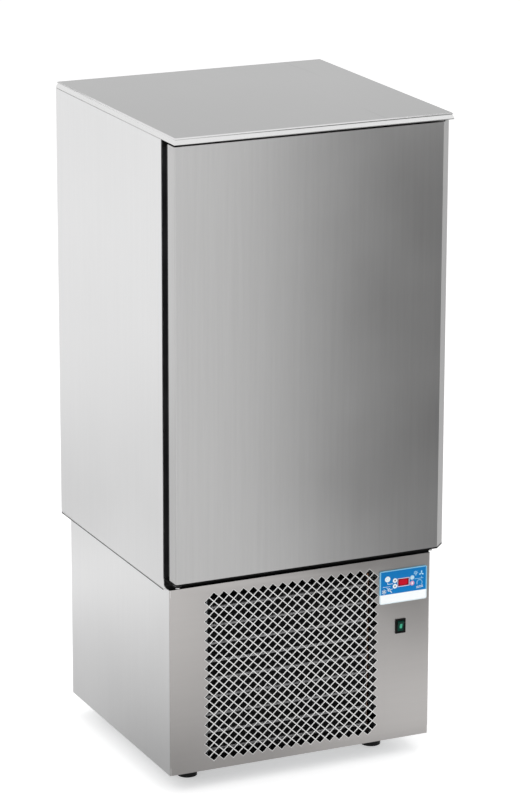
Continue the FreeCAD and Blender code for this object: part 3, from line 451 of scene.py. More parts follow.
nodeLook = {
    "doorSteelPaintedShade": "door_shell",
    "sideSteel": "cabinet_side_left cabinet_side_right cabinet_back",
    "baseSideSteelPaintedLight": "base_sides base_back",
    "lidSteelPaintedShade": "lid",
    "baseSteel": "front_panel",
    "innerSteel": "chamber_liner door_liner cabinet_floor fan_panel tray_runners rack_posts drip_tray",
    "zincSheet": "base_pan base_posts condenser_brackets cooler_end_plates compressor_mount "
                 "fan_shroud fan_arm fan_mount",
    "finFoil": "cooler_fins",
    "finPaintedShadeBlack": "condenser_fins",
    "copperTube": "copper_pipes",
    "blackPlastic": "door_frame front_collar foot_front_left foot_front_right foot_rear_left "
                    "foot_rear_right mains_inlet drain_tube",
    "blackRubber": "door_gasket",
    "blackPaint": "compressor liquid_receiver",
    # painted shade: the base deck and the hinge brackets in the gap under the door are black; the switch
    # housing is black plastic given the same reflection-free black
    "gapPaintedShade": "base_deck hinge_brackets switch_housing",
    "motorPaint": "chamber_fan_motors condenser_fan_motor",
    "fanPlastic": "chamber_fan_lower chamber_fan_upper condenser_fan",
    "greyPlastic": "controller electrical_box",
    "whiteKey": "key_start key_up key_down",
    "paleBlueKey": "key_light",
    "pinkKey": "key_defrost",
    "bushPlastic": "hinge_bushes",
    "foamFill": "cabinet_foam door_foam",
    "controlFilm": "control_bezel",
    "redWindow": "display_window",
    "greenRocker": "power_rocker",
}
dressed = set()
for finish, names in nodeLook.items():
    for name in names.split():
        mesh = nodes[name].data
        if not mesh.materials:
            mesh.materials.append(look[finish])
        for i in range(len(mesh.materials)):
            mesh.materials[i] = look[finish]
        dressed.add(name)
left = sorted(set(nodes) - dressed)
if left:
    raise SystemExit(f"no finish for {left}")
print("carried-over nodes dressed")

# perforated front panel of the base
frontPanel = {
    "half": 383.0, "fold": 3.0, "face": -328.0, "returnEnd": -256.0, "z": (60.0, 580.0), "sheet": 1.2,
    "left": -284.0, "bottom": 82.0, "pitchX": 28.5, "pitchZ": 26.5, "columns": 18, "rows": 18, "bar": 2.5,
    "switchX": (282.0, 308.0), "switchZ": (365.0, 401.0), "barArea": 1.5e-4,
}


def buildFrontPanel(bm):
    p = frontPanel
    y = p["face"]
    halfX, halfZ = p["pitchX"] / 2, p["pitchZ"] / 2
    right = p["left"] + p["columns"] * p["pitchX"]
    bottom = p["bottom"]
    top = bottom + p["rows"] * p["pitchZ"]
    # a diamond hole leaves half a bar inside each lattice cell
    lean = math.hypot(halfX, halfZ)
    shrink = 1 - p["bar"] / 2 * lean / (halfX * halfZ)
    corners = {}

    def corner(x, z):
        key = (round(x, 2), round(z, 2))
        if key not in corners:
            corners[key] = bm.verts.new(at(x, y, z))
        return corners[key]

    cells = [(p["left"] + halfX + p["pitchX"] * i, bottom + p["pitchZ"] * (j + 1))
             for i in range(p["columns"]) for j in range(p["rows"] - 1)]
    cells += [(p["left"] + p["pitchX"] * (i + 1), bottom + halfZ + p["pitchZ"] * j)
              for i in range(p["columns"] - 1) for j in range(p["rows"])]
    for cx, cz in cells:
        ways = [(-halfX, 0), (0, -halfZ), (halfX, 0), (0, halfZ)]
        outer = [corner(cx + dx, cz + dz) for dx, dz in ways]
        inner = [bm.verts.new(at(cx + dx * shrink, y, cz + dz * shrink)) for dx, dz in ways]
        for k in range(4):
            n = (k + 1) % 4
            bm.faces.new([outer[k], outer[n], inner[n], inner[k]])
    # half cells along the field's four sides
    sideZ = [bottom + p["pitchZ"] * k for k in range(p["rows"] + 1)]
    sideX = [p["left"] + p["pitchX"] * k for k in range(p["columns"] + 1)]
    for low, high in zip(sideZ, sideZ[1:]):
        middle = (low + high) / 2
        bm.faces.new([corner(p["left"], low), corner(p["left"] + halfX, middle), corner(p["left"], high)])
        bm.faces.new([corner(right, low), corner(right, high), corner(right - halfX, middle)])
    for low, high in zip(sideX, sideX[1:]):
        middle = (low + high) / 2
        bm.faces.new([corner(low, bottom), corner(high, bottom), corner(middle, bottom + halfZ)])
        bm.faces.new([corner(low, top), corner(middle, top - halfZ), corner(high, top)])
    flat = p["half"] - p["fold"]
    zLow, zHigh = p["z"]
    bm.faces.new([corner(-flat, zLow), corner(flat, zLow), corner(flat, bottom)]
                 + [corner(x, bottom) for x in reversed(sideX)] + [corner(-flat, bottom)])
    bm.faces.new([corner(flat, zHigh), corner(-flat, zHigh), corner(-flat, top)]
                 + [corner(x, top) for x in sideX] + [corner(flat, top)])
    bm.faces.new([corner(-flat, bottom)] + [corner(p["left"], z) for z in sideZ] + [corner(-flat, top)])
    sx, sz = p["switchX"], p["switchZ"]
    hole = [corner(sx[0], sz[0]), corner(sx[1], sz[0]), corner(sx[1], sz[1]), corner(sx[0], sz[1])]
    under = [z for z in sideZ if z < sz[0]]
    over = [z for z in sideZ if z > sz[1] - 2]
    beside = [z for z in sideZ if under[-1] <= z <= over[0]]
    bm.faces.new([corner(right, z) for z in reversed(under)]
                 + [corner(flat, bottom), corner(flat, sz[0]), hole[1], hole[0]])
    bm.faces.new([hole[1], corner(flat, sz[0]), corner(flat, sz[1]), hole[2]])
    bm.faces.new([hole[0], hole[3]] + [corner(right, z) for z in reversed(beside)])
    bm.faces.new([hole[3], hole[2], corner(flat, sz[1]), corner(flat, top)]
                 + [corner(right, z) for z in reversed(over)])
    # folds and side returns
    heights = [zLow, bottom, top, zHigh]
    for side, levels in ((-1, heights), (1, heights[:2] + list(sz) + heights[2:])):
        bends = [(flat + p["fold"] * math.sin(a), y + p["fold"] * (1 - math.cos(a)))
                 for a in [math.pi / 2 * k / 5 for k in range(1, 6)]] + [(p["half"], p["returnEnd"])]
        columns = [[corner(side * flat, z) for z in levels]]
        columns += [[bm.verts.new(at(side * bx, by, z)) for z in levels] for bx, by in bends]
        for a, b in zip(columns, columns[1:]):
            for k in range(len(levels) - 1):
                bm.faces.new([a[k], b[k], b[k + 1], a[k + 1]])


# side returns of the panel, painted lighter as light
def isReturn(face):
    return abs(face.normal.x) > 0.9


# bars between the holes, painted near white as a highlight
def isBar(face):
    return face.area < frontPanel["barArea"] and abs(face.normal.y) > 0.9


panelPiece = newPiece("perforatedPanel", buildFrontPanel, look["baseSteel"], "chassis",
                      ["front_panel"],
                      others=[(look["baseSideSteelPaintedLight"], isReturn), (look["punchedSteelPaintedHighlight"], isBar)])
thick = panelPiece.modifiers.new("sheet", "SOLIDIFY")
thick.thickness = frontPanel["sheet"] * mm
thick.offset = -1.0
print("front panel built")

# finned condenser behind the grille and air cooler behind the fan panel, each with its tubes,
# whose rows are (y, height of the first tube above the pack's foot)
finPacks = {
    "condenser": {"x": (-263.0, 207.6), "y": (-299.5, -240.5), "z": (75.6, 530.4), "pitch": 3.6, "fin": 0.5,
                  "rows": ((-294.2, 28.0), (-262.0, 28.0)), "step": 50.0, "inset": 0.5, "tube": 4.8,
                  "node": "condenser_fins", "finLook": "finPaintedShadeBlack", "tubeLook": "dullTube"},
    "cooler": {"x": (-269.0, 269.0), "y": (234.6, 329.4), "z": (720.8, 1651.2), "pitch": 6.0, "fin": 0.6,
               "rows": ((250.0, 30.0), (282.0, 60.0), (314.0, 30.0)), "step": 60.0, "inset": 0.4, "tube": 6.0,
               "node": "cooler_fins", "finLook": "finFoil", "tubeLook": "copperTube"},
}


def finBuilder(p):
    def build(bm):
        x = p["x"][0] + 1.0
        while x < p["x"][1] - 1.0:
            addBlock(bm, (x, x + p["fin"]), p["y"], p["z"])
            x += p["pitch"]
    return build


def tubeBuilder(p):
    def build(bm):
        low, high = p["x"][0] + p["inset"], p["x"][1] - p["inset"]
        for y, start in p["rows"]:
            z = p["z"][0] + start
            while z < p["z"][1] - 10.0:
                addTube(bm, [(low, y, z), (high, y, z)], p["tube"], 8)
                z += p["step"]
    return build


for name, p in finPacks.items():
    newPiece(name + "Fins", finBuilder(p), look[p["finLook"]], "chassis", [p["node"]])
    newPiece(name + "Tubes", tubeBuilder(p), look[p["tubeLook"]], "chassis")
print("fin packs built")

# sealed compressor and receiver shells with their weld seams
compressorShell = {"spot": (-150.0, 190.0, 86.6), "radius": 94.6, "tall": 204.4}
receiverShell = {"spot": (40.0, 70.0, 61.2), "profile": [
    (0, 0), (26, 0.5), (40, 5), (48, 15), (49.8, 27), (49.8, 110), (50, 110), (50, 118), (49.8, 118),
    (49.8, 203), (48, 215), (40, 225), (26, 229.5), (0, 230)]}


def buildCompressor(bm):
    r, tall = compressorShell["radius"], compressorShell["tall"]
    # radii as shares of the radius, heights in millimetres below and as shares of the height above
    low = [(0, 0.2), (0.55, 0.2), (0.8, 3), (0.93, 12), (0.975, 26)]
    high = [(0.975, 0.49), (1, 0.49), (1, 0.53), (0.975, 0.53), (0.975, 0.74), (0.94, 0.84), (0.82, 0.925),
            (0.6, 0.97), (0.3, 0.995), (0, 1)]
    profile = [(r * f, z) for f, z in low] + [(r * f, tall * part) for f, part in high]
    addTurned(bm, profile, compressorShell["spot"], sides=48)


newPiece("compressorShell", buildCompressor, look["blackPaint"], "chassis", ["compressor"])
newPiece("receiverShell", lambda bm: addTurned(bm, receiverShell["profile"], receiverShell["spot"], sides=36),
         look["blackPaint"], "chassis", ["liquid_receiver"])
print("compressor and receiver built")

# moulded rotors with twisted, cambered blades
chamberRotor = {"y": (168.0, 196.0), "hub": 38.0, "tip": 140.0, "sweep": (48.0, 52.0), "blades": 5}
rotors = {
    "chamberRotorLower": {"centre": (0.0, 946.0), "node": "chamber_fan_lower", **chamberRotor},
    "chamberRotorUpper": {"centre": (0.0, 1426.0), "node": "chamber_fan_upper", **chamberRotor},
    "condenserRotor": {"centre": (-27.7, 303.0), "node": "condenser_fan", "y": (-232.0, -198.0), "hub": 42.0,
                       "tip": 150.0, "sweep": (46.0, 52.0), "blades": 5},
}


def rotorBuilder(r):
    def build(bm):
        cx, cz = r["centre"]
        low, high = r["y"]
        deep = high - low
        middle = (low + high) / 2
        hub, tip = r["hub"], r["tip"]
        narrow, wide = r["sweep"]
        addTurned(bm, [(0, 0.3), (hub * 0.3, 0.3), (hub * 0.62, 1.2), (hub * 0.88, 4), (hub, 9),
                       (hub, deep - 0.3), (hub - 3, deep - 0.3), (hub - 3, deep - 6), (8, deep - 6),
                       (8, deep - 0.6), (4.2, deep - 0.6), (4.2, deep - 18), (0, deep - 18)],
                  (cx, low, cz), (0, 1, 0), sides=40)
        across, along = 7, 8
        for turn in fullTurn(r["blades"]):
            rings = []
            for i in range(along + 1):
                f = i / along
                radius = hub - 1.0 + (tip - 0.6 - hub + 1.0) * f
                chord = math.radians(narrow + (wide - narrow) * f)
                rise = (deep * 0.84) * (1 - 0.28 * f)
                faces = []
                for side in (-1, 1):
                    row = []
                    for k in range(across + 1):
                        s = k / across - 0.5
                        thick = 1.25 * (1 - (2 * s) ** 4 * 0.7) * (1 - 0.45 * f)
                        camber = 2.2 * (1 - (2 * s) ** 2)
                        y = middle - rise * s + camber * 0.6 + side * thick
                        y = min(max(y, low + 0.3), high - 0.3)
                        x, z = around((cx, cz), radius, turn + chord * s + 0.22 * f * f)
                        row.append(bm.verts.new(at(x, y, z)))
                    faces.append(row)
                rings.append(faces[0] + faces[1][::-1])
            bridgeRings(bm, rings)
            for ring in (rings[0], rings[-1]):
                for k in range(across):
                    bm.faces.new([ring[k], ring[k + 1], ring[-2 - k], ring[-1 - k]])
    return build


for name, r in rotors.items():
    newPiece(name, rotorBuilder(r), look["fanPlastic"], r["node"], [r["node"]])
print("rotors built")

# wire guards in front of the chamber's fans
guards = {"face": 150.0, "outer": 156.0, "rings": 9, "spokes": 6, "lean": 0.2, "wire": 1.3, "dome": 12.0}


def buildGuards(bm):
    c = guards
    for name in ("chamberRotorLower", "chamberRotorUpper"):
        centre = rotors[name]["centre"]
        for k in range(c["rings"]):
            f = (k + 1) / c["rings"]
            y = c["face"] - 1.6 - c["dome"] * (1 - f ** 3)
            spots = [around(centre, c["outer"] * f, t) for t in fullTurn(24 + 3 * k)]
            addTube(bm, [(x, y, z) for x, z in spots], c["wire"], 6, closed=True)
        for turn in fullTurn(c["spokes"]):
            spoke = []
            for i in range(9):
                f = 0.08 + 0.92 * i / 8
                x, z = around(centre, c["outer"] * f, turn + c["lean"])
                spoke.append((x, c["face"] - 3.4 - c["dome"] * (1 - f ** 3) + 1.8 * f ** 6, z))
            addTube(bm, spoke, c["wire"] * 1.15, 6)


newPiece("fanGuards", buildGuards, look["wireSteel"], "chassis")
print("guards built")

# prints and key symbols of the control panel
controls = {
    # depth of the film, height of a print, depth behind the keys, depth and height of their signs
    "film": -331.0, "print": 0.14, "keyBack": -329.1, "sign": (-331.4, 0.16),
    "windowX": (285.5, 317.5), "windowZ": (498.0, 518.0), "crystal": (243.5, 487.5), "probe": (258.5, 491.5),
    "waves": (341.5, 488.6), "lamp": (338.5, 528.6), "fan": (355.5, 526.0), "loop": (350.0, 500.0),
    "whiteLeads": [((260.6, 489.2), (266.5, 483.2), 1.9), ((255.4, 494.4), (251.6, 497.4), 1.1),
                   ((254.0, 512.5), (254.0, 507.6), 1.3), ((254.0, 507.6), (269.6, 507.6), 1.3),
                   ((240.0, 500.6), (262.0, 500.6), 0.9), ((268.6, 493.6), (264.0, 490.8), 1.3)],
    "paleLeads": [((335.4, 512.0), (361.0, 512.0), 1.1), ((355.5, 512.0), (355.5, 517.4), 1.1),
                  ((336.9, 522.6), (340.1, 522.6), 1.2)],
}


def addFlat(bm, outline, y, thick):
    # thin raised print from a list of (x, z)
    rings = [[bm.verts.new(at(x, depth, z)) for x, z in outline] for depth in (y - thick, y)]
    bridgeRings(bm, rings)
    capEnds(bm, rings)


def addStroke(bm, start, end, wide, y, thick):
    # both ends reach a little beyond their points
    ahead = Vector((end[0] - start[0], end[1] - start[1])).normalized() * wide / 2
    across = Vector((-ahead.y, ahead.x))
    a, b = Vector(start) - ahead * 0.6, Vector(end) + ahead * 0.6
    addFlat(bm, [tuple(a - across), tuple(b - across), tuple(b + across), tuple(a + across)], y, thick)


def addRing(bm, middle, outer, inner, y, thick, sides=28, start=0.0, sweep=None):
    # a whole ring, or an arc where a sweep is given
    turns = [start + sweep * i / sides for i in range(sides + 1)] if sweep else fullTurn(sides)
    rows = []
    for radius, depth in ((outer, y), (outer, y - thick), (inner, y - thick), (inner, y)):
        spots = [around(middle, radius, t) for t in turns]
        rows.append([bm.verts.new(at(x, depth, z)) for x, z in spots])
    bridgeRings(bm, rows, loop=True, wrap=not sweep)
    if sweep:
        for i in (0, -1):
            bm.faces.new([row[i] for row in rows])


def buildWhitePrint(bm):
    c = controls
    y, t = c["film"], c["print"]
    for k, turn in enumerate(fullTurn(6)):
        a = turn + math.pi / 6
        if k < 3:
            addStroke(bm, around(c["crystal"], -6.2, a), around(c["crystal"], 6.2, a), 1.7, y, t)
        tip = around(c["crystal"], 4.0, a)
        for lean in (-0.7, 0.7):
            addStroke(bm, tip, around(tip, 2.4, a + lean), 1.1, y, t)
    addRing(bm, c["probe"], 4.2, 2.3, y, t)
    for start, end, wide in c["whiteLeads"]:
        addStroke(bm, start, end, wide, y, t)
    x, z = c["waves"]
    for low in (z, z - 3.6):
        spots = [(x + 3.1 * i, low + (1.5 if i % 2 else 0.0) + 0.35 * i) for i in range(7)]
        for a, b in zip(spots, spots[1:]):
            addStroke(bm, a, b, 1.5, y, t)


def buildPalePrint(bm):
    c = controls
    y, t = c["film"], c["print"]
    addRing(bm, c["lamp"], 4.2, 2.3, y, t)
    for k in range(5):
        a = math.pi * k / 4
        addStroke(bm, around(c["lamp"], 5.2, a), around(c["lamp"], 6.8, a), 0.8, y, t)
    blade = ((1.4, -0.3), (4.6, -0.55), (7.0, -0.3), (7.4, 0.1), (5.4, 0.3), (1.4, 0.5))
    for turn in fullTurn(3):
        addFlat(bm, [around(c["fan"], r, turn + math.pi / 2 + w) for r, w in blade], y, t)
    addRing(bm, c["fan"], 1.5, 0.4, y, t, sides=14)
    for start, end, wide in c["paleLeads"]:
        addStroke(bm, start, end, wide, y, t)
    addRing(bm, c["loop"], 8.6, 7.3, y, t, start=-0.9, sweep=4.6)


def buildWindowFrame(bm):
    y = controls["film"]
    profile = [(-1.9, y), (-1.9, y - 0.2), (-0.1, y - 0.2), (-0.1, y)]
    addFrameSweep(bm, controls["windowX"], controls["windowZ"], profile)


newPiece("whiteSigns", buildWhitePrint, look["printWhite"], "chassis")
newPiece("paleSigns", buildPalePrint, look["printPale"], "chassis")
newPiece("windowFrame", buildWindowFrame, look["printPink"], "chassis")

# shallow domed keys with their signs
keys = {
    "key_start": {"spot": (253.8, 522.0), "radius": 8.0, "cap": "whiteKey", "sign": "standby",
                  "ink": "printPale"},
    "key_up": {"spot": (276.0, 515.5), "radius": 6.5, "cap": "whiteKey", "sign": "up", "ink": "printDark"},
    "key_down": {"spot": (276.0, 499.6), "radius": 6.5, "cap": "whiteKey", "sign": "down", "ink": "printDark"},
    "key_light": {"spot": (327.9, 517.0), "radius": 6.5, "cap": "paleBlueKey", "sign": "ring",
                  "ink": "printWhite"},
    "key_defrost": {"spot": (327.9, 501.2), "radius": 6.5, "cap": "pinkKey", "sign": "drop",
                    "ink": "printWhite"},
}


def keyBuilder(k):
    def build(bm):
        r = k["radius"]
        profile = [(r, 0.0), (r, 2.1), (r - 0.25, 2.4), (r - 0.9, 2.5), (r - 1.5, 2.38), (r * 0.5, 2.34),
                   (0, 2.32)]
        addTurned(bm, profile, (k["spot"][0], controls["keyBack"], k["spot"][1]), (0, -1, 0), sides=40)
    return build


def signBuilder(k):
    def build(bm):
        x, z = k["spot"]
        y, t = controls["sign"]
        if k["sign"] in ("up", "down"):
            way = 1 if k["sign"] == "up" else -1
            addFlat(bm, [(x - 3.0, z - 1.6 * way), (x + 3.0, z - 1.6 * way), (x, z + 3.2 * way)], y, t)
        elif k["sign"] == "standby":
            addRing(bm, k["spot"], 3.7, 2.9, y, t, start=math.pi * 0.66, sweep=math.pi * 1.68)
            addStroke(bm, (x, z + 1.0), (x, z + 4.0), 0.8, y, t)
        elif k["sign"] == "ring":
            addRing(bm, k["spot"], 4.2, 3.1, y, t)
            addRing(bm, k["spot"], 1.4, 0.3, y, t, sides=14)
        else:
            outline = [(x + 2.6 * math.sin(a) * (0.35 + 0.65 * math.sin(a / 2) ** 2), z + 3.6 * math.cos(a))
                       for a in fullTurn(20)]
            addFlat(bm, outline, y, t)
    return build


for name, k in keys.items():
    newPiece(name + "_cap", keyBuilder(k), look[k["cap"]], name, [name])
    newPiece(name + "_sign", signBuilder(k), look[k["ink"]], name)
print("control panel printed")

# hollow bellows gasket with its magnet chamber
doorSeal = {"x": (-360.0, 360.0), "z": (624.0, 1748.0), "profile": [
    (0.5, -332.2), (0.5, -329.6), (2.4, -328.7), (1.0, -326.4), (2.6, -324.3), (0.6, -322.4), (0.4, -318.4),
    (1.8, -316.5), (20.2, -316.5), (21.6, -318.4), (21.4, -322.4), (19.4, -324.3), (21.0, -326.4),
    (19.6, -328.7), (21.5, -329.6), (21.5, -332.2)]}
newPiece("bellowsSeal", lambda bm: addFrameSweep(bm, doorSeal["x"], doorSeal["z"], doorSeal["profile"]),
         look["blackRubber"], "door", ["door_gasket"], smoothAngle=50)

# lid sheet with its rolled edge: a small round, a groove and a full bulge below it; its top is painted darker
# as shade and its edge painted lighter as a highlight
rolledLid = {"x": (-395.0, 395.0), "y": (-400.0, 400.0), "edge": [
    (6.6, 1800.0), (5.0, 1799.8), (3.7, 1799.2), (2.7, 1798.3), (2.2, 1797.3), (2.3, 1796.7), (3.0, 1795.9),
    (3.7, 1795.0), (3.8, 1794.5), (3.3, 1793.6), (2.6, 1792.2), (1.8, 1790.4), (1.1, 1788.4), (0.55, 1786.4),
    (0.15, 1784.8), (0.0, 1783.7), (0.3, 1782.7), (1.2, 1782.1), (3.0, 1782.0)]}


def buildLid(bm):
    rings = [[bm.verts.new(at(x, y, z)) for x, y in rectangle(rolledLid["x"], rolledLid["y"], inset)]
             for inset, z in rolledLid["edge"]]
    bridgeRings(bm, rings)
    capEnds(bm, rings)


newPiece("rolledLid", buildLid, look["lidSteelPaintedShade"], "chassis", ["lid"], smoothAngle=60,
         others=[(look["edgeSteelPaintedHighlight"], lambda face: abs(face.normal.z) < 0.98)])

# rolled hems along the cabinet's front and lower edges
hems = {"x": 394.0, "front": -315.6, "rear": 397.8, "low": 590.9, "high": 1781.4, "radius": 0.95}


def buildHems(bm):
    h = hems
    for side in (-1, 1):
        x = side * h["x"]
        y, z = h["front"], h["low"]
        addTube(bm, [(x, y + 1.0, z + 0.4), (x, y + 1.0, h["high"])], h["radius"], 10)
        addTube(bm, [(x, y + 0.4, z), (x, h["rear"], z)], h["radius"], 10)


newPiece("cabinetHems", buildHems, look["pinChrome"], "chassis")

# floor pan of the cabinet, with a black strip along its front edge painted as the shade in the gap under the
# door, and a darker lower layer along its sides painted as the shadow under the cabinet's overhang
floorPan = {"x": (-395.0, 395.0), "front": -316.0, "rear": 400.0, "z": (580.0, 590.0), "bevel": 0.6,
            "strip": 0.8, "stripTop": 391.6, "stripLow": 384.0, "seam": 3.4, "seamInset": 0.3}


def buildFloorPan(bm):
    f = floorPan
    behind = f["front"] + f["strip"]
    seamTop = f["z"][0] + f["seam"]
    inset = f["seamInset"]
    addBlock(bm, f["x"], (behind, f["rear"]), (seamTop, f["z"][1]), f["bevel"])
    addBlock(bm, (f["x"][0] + inset, f["x"][1] - inset), (behind, f["rear"] - inset), (f["z"][0], seamTop))
    low, top = f["stripLow"], f["stripTop"]
    outline = [(-low, f["z"][0]), (low, f["z"][0]), (top, f["z"][1]), (-top, f["z"][1])]
    addFlat(bm, outline, behind, f["strip"])


# faces of the strip painted black as the gap's shade
def isGapShadeStrip(face):
    return face.center.y < (floorPan["front"] + floorPan["strip"] - 0.01) * mm


# faces of the lower layer painted dark as the shadow under the overhang
def isSeamShadow(face):
    behind = (floorPan["front"] + floorPan["strip"]) * mm
    return face.center.y > behind and face.center.z < (floorPan["z"][0] + floorPan["seam"] - 0.1) * mm


newPiece("cabinetFloorPan", buildFloorPan, look["sideSteel"], "chassis", ["cabinet_floor"],
         others=[(look["gapPaintedShade"], isGapShadeStrip), (look["seamShade"], isSeamShadow)])

# folded door skin, its lowest faces painted black as the shade in the gap under the door
doorSkin = {"shadeBandTop": 620.0}


def buildDoorSkin(bm):
    shell = nodes["door_shell"]
    bm.from_mesh(shell.data)
    bm.transform(shell.matrix_world)
    bmesh.ops.remove_doubles(bm, verts=bm.verts, dist=1e-6)
    bmesh.ops.bisect_plane(bm, geom=bm.verts[:] + bm.edges[:] + bm.faces[:],
                           plane_co=at(0, 0, doorSkin["shadeBandTop"]), plane_no=(0, 0, 1))


newPiece("doorSkin", buildDoorSkin, look["doorSteelPaintedShade"], "door", ["door_shell"],
         others=[(look["gapPaintedShade"], lambda face: face.center.z < doorSkin["shadeBandTop"] * mm)])

# head of the lower hinge pin, seen in the gap below the door
hingePin = {"spot": (-383.0, -382.0, 607.6), "head": [
    (0, -5.6), (3.2, -5.4), (4.8, -4.4), (5.4, -3.0), (5.4, -0.6), (5.0, 0.0), (0, 0.0)]}
newPiece("hingePinHead", lambda bm: addTurned(bm, hingePin["head"], hingePin["spot"], sides=28),
         look["pinChrome"], "chassis")

# pan head screws with a recessed socket
screws = {
    "head": [(3.8, 0.0), (3.5, 1.1), (2.6, 1.75), (1.5, 1.7), (1.5, 0.5), (0.0, 0.5)],
    "back": [(x, 360.0, z) for x in (-368.0, 368.0) for z in (78.0, 240.0, 400.0, 562.0)]
            + [(x, 398.2, z) for x in (-377.0, 377.0) for z in (612.0, 838.0, 1064.0, 1290.0, 1516.0, 1742.0)]
            + [(x, 398.2, z) for x in (-226.0, -75.0, 75.0, 226.0) for z in (606.0, 1758.0)],
    "fans": [(x, 150.0, z) for x in (-262.0, 262.0) for z in (712.0, 946.0, 1186.0, 1426.0, 1660.0)],
}


def screwBuilder(spots, out):
    def build(bm):
        for spot in spots:
            addTurned(bm, screws["head"], spot, out, sides=18)
    return build


newPiece("backScrews", screwBuilder(screws["back"], (0, 1, 0)), look["wireSteel"], "chassis")
newPiece("fanPanelScrews", screwBuilder(screws["fans"], (0, -1, 0)), look["wireSteel"], "chassis")
print("seal, hems, pins and screws built")

# camera at the photograph's place
cameraPlace = {"azimuth": -24.785, "elevation": 16.274, "roll": 0.149, "distance": 9.975,
               "target": (0.0292, 0.0, 0.9627), "lens": 165.94, "sensor": 36.0}


def addCamera():
    c = cameraPlace
    a, e, r = (math.radians(c[k]) for k in ("azimuth", "elevation", "roll"))
    back = Vector((math.sin(a) * math.cos(e), -math.cos(a) * math.cos(e), math.sin(e)))
    right = Vector((0, 0, 1)).cross(back).normalized()
    up = back.cross(right)
    leaned = right * math.cos(r) + up * math.sin(r)
    upright = up * math.cos(r) - right * math.sin(r)
    lens = bpy.data.cameras.new("camera")
    lens.sensor_fit = "VERTICAL"
    lens.sensor_height = c["sensor"]
    lens.lens = c["lens"]
    lens.clip_end = 200.0
    camera = addObject("camera", lens)
    spot = Vector(c["target"]) + back * c["distance"]
    turn = Matrix((leaned, upright, back)).transposed().to_4x4()
    camera.matrix_world = Matrix.Translation(spot) @ turn
    scene.camera = camera


addCamera()

# floor and backdrop show white to the camera, and the sheet metal sees a softly graded room whose floor is
# painted darker near the object, as shade
studio = {
    "floorSize": 60.0, "floorColour": 0.8, "floorLift": 0.42, "world": 0.75,
    # centre and grey steps of the painted shade on the floor around the object, seen only in the metal
    "nearShadeSpot": (-0.45, -0.3),
    "nearShadeTones": [(0.25, 0.4), (0.6, 0.52), (0.95, 0.62), (1.35, 0.72), (1.7, 0.95), (2.05, 0.92),
                  (2.4, 0.72), (2.7, 0.71), (3.0, 0.78), (3.4, 0.88), (3.8, 0.97), (4.2, 1.0)],
    "lamps": [
        {"name": "softLeft", "spot": (-3.6, -3.0, 3.6), "size": (3.0, 3.0), "power": 110.0},
        {"name": "softRight", "spot": (3.8, -3.4, 2.6), "size": (2.6, 3.4), "power": 45.0},
        {"name": "softTop", "spot": (0.4, 0.6, 5.2), "size": (3.6, 3.6), "power": 60.0},
    ],
    # x, y and z ranges, one of them without a width
    "cards": [
        {"name": "frontCard", "x": (-1.8, 3.6), "y": (-1.9, -1.9), "z": (0.0, 1.85), "along": "X",
         "tones": [(-0.4, 1.0), (0.46, 1.0), (0.76, 0.14), (1.06, 0.05), (1.45, 0.27), (2.2, 0.5),
                   (3.4, 0.6)]},
        {"name": "floorCard", "x": (-1.8, 3.6), "y": (-1.9, -1.1), "z": (0.01, 0.01), "along": "X",
         "tones": [(-0.4, 0.9), (0.45, 0.88), (0.8, 0.3), (1.1, 0.2), (1.5, 0.3), (2.2, 0.5)]},
        {"name": "brightCard", "x": (0.1, 1.4), "y": (-1.05, -0.45), "z": (0.01, 0.01), "along": "X",
         "tones": [(0.1, 0.62), (0.45, 0.92), (1.4, 0.95)]},
        {"name": "rightCard", "x": (2.6, 2.6), "y": (-0.4, 4.5), "z": (0.0, 2.6), "along": "Y",
         "tones": [(-0.4, 0.55), (0.6, 0.68), (2.5, 0.74), (4.5, 0.9)]},
    ],
}


def cardCorners(card):
    (x0, x1), (y0, y1), (z0, z1) = (card[axis] for axis in "xyz")
    if z0 == z1:
        return [(x, y, z0) for x, y in rectangle(card["x"], card["y"])]
    return [(x0, y0, z0), (x1, y1, z0), (x1, y1, z1), (x0, y0, z1)]


def gradedEmission(g, distance, tones):
    # grey steps over a distance in metres
    low, high = tones[0][0], tones[-1][0]
    ramp = g.node("ValToRGB")
    g.put(ramp.inputs["Fac"], g.between(distance, low, high))
    stops = ramp.color_ramp.elements
    while len(stops) < len(tones):
        stops.new(0.5)
    for stop, (spot, tone) in zip(stops, tones):
        stop.position = (spot - low) / (high - low)
        stop.color = rgba(tone)
    glow = g.node("Emission")
    g.put(glow.inputs["Color"], ramp.outputs["Color"])
    return glow.outputs[0]


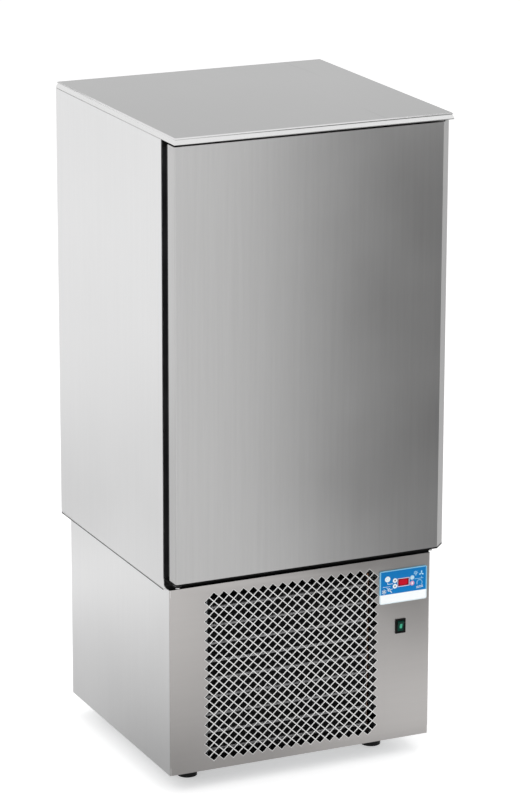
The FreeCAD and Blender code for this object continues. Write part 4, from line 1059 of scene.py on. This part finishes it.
def addStudio():
    material, g, shader = newMaterial("floorPaper")
    where = g.node("TexCoord").outputs["Object"]
    tone = studio["floorColour"]
    paper = g.noise(where, 40.0, 3.0)
    g.put(shader.inputs["Base Color"], g.mix(paper, rgba(tone - 0.01), rgba(tone)))
    shader.inputs["Roughness"].default_value = 0.9
    shader.inputs["Specular IOR Level"].default_value = 0.1
    rays = g.node("LightPath")
    lift = g.node("Emission")
    g.put(lift.inputs["Strength"], g.maths("MULTIPLY", rays.outputs["Is Camera Ray"], studio["floorLift"]))
    total = g.node("AddShader")
    g.put(total.inputs[0], shader.outputs[0])
    g.put(total.inputs[1], lift.outputs[0])
    # painted shade: the floor seen by the metal grows darker near the object
    axes = g.split(where)
    squares = []
    for axis, near in zip("XY", studio["nearShadeSpot"]):
        offset = g.maths("ABSOLUTE", g.maths("SUBTRACT", axes[axis], near))
        squares.append(g.maths("POWER", offset, 2.0))
    away = g.maths("SQRT", g.maths("ADD", *squares))
    mirrored = g.maths("MAXIMUM", rays.outputs["Is Glossy Ray"], rays.outputs["Is Transmission Ray"])
    either = g.node("MixShader")
    g.put(either.inputs[0], mirrored)
    g.put(either.inputs[1], total.outputs[0])
    g.put(either.inputs[2], gradedEmission(g, away, studio["nearShadeTones"]))
    output = [n for n in material.node_tree.nodes if n.type == "OUTPUT_MATERIAL"][0]
    g.put(output.inputs["Surface"], either.outputs[0])
    side = (-studio["floorSize"] / 2, studio["floorSize"] / 2)
    mesh = bpy.data.meshes.new("floor")
    mesh.from_pydata([(x, y, 0) for x, y in rectangle(side, side)], [], [(0, 1, 2, 3)])
    mesh.materials.append(material)
    floor = addObject("floor", mesh)
    for lamp in studio["lamps"]:
        light = bpy.data.lights.new(lamp["name"], "AREA")
        light.shape = "RECTANGLE"
        light.size, light.size_y = lamp["size"]
        light.energy = lamp["power"]
        made = addObject(lamp["name"], light)
        spot = Vector(lamp["spot"])
        made.location = spot
        made.rotation_euler = (Vector((0, 0, 0.9)) - spot).to_track_quat("-Z", "Y").to_euler()
        made.visible_camera = made.visible_glossy = False
    for card in studio["cards"]:
        cardLook = bpy.data.materials.new(card["name"])
        cardLook.use_nodes = True
        cardLook.node_tree.nodes.clear()
        g = Graph(cardLook.node_tree)
        axes = g.split(g.node("TexCoord").outputs["Object"])
        glow = gradedEmission(g, axes[card["along"]], card["tones"])
        g.put(g.node("OutputMaterial").inputs["Surface"], glow)
        mesh = bpy.data.meshes.new(card["name"])
        mesh.from_pydata(cardCorners(card), [], [(0, 1, 2, 3)])
        mesh.materials.append(cardLook)
        made = addObject(card["name"], mesh)
        made.visible_camera = made.visible_diffuse = made.visible_shadow = made.visible_transmission = False
    world = bpy.data.worlds.new("studioWorld")
    scene.world = world
    world.use_nodes = True
    world.node_tree.nodes.clear()
    w = Graph(world.node_tree)
    rays = w.node("LightPath")
    mirrored = w.maths("MAXIMUM", rays.outputs["Is Glossy Ray"], rays.outputs["Is Transmission Ray"])
    seen = w.maths("MAXIMUM", rays.outputs["Is Camera Ray"], mirrored)
    back = w.node("Background")
    w.put(back.inputs["Strength"], w.between(seen, 0.0, 1.0, studio["world"], 1.0))
    back.inputs["Color"].default_value = (1, 1, 1, 1)
    w.put(w.node("OutputWorld").inputs["Surface"], back.outputs[0])


addStudio()
scene.view_settings.view_transform = "Standard"
print("camera and studio set")
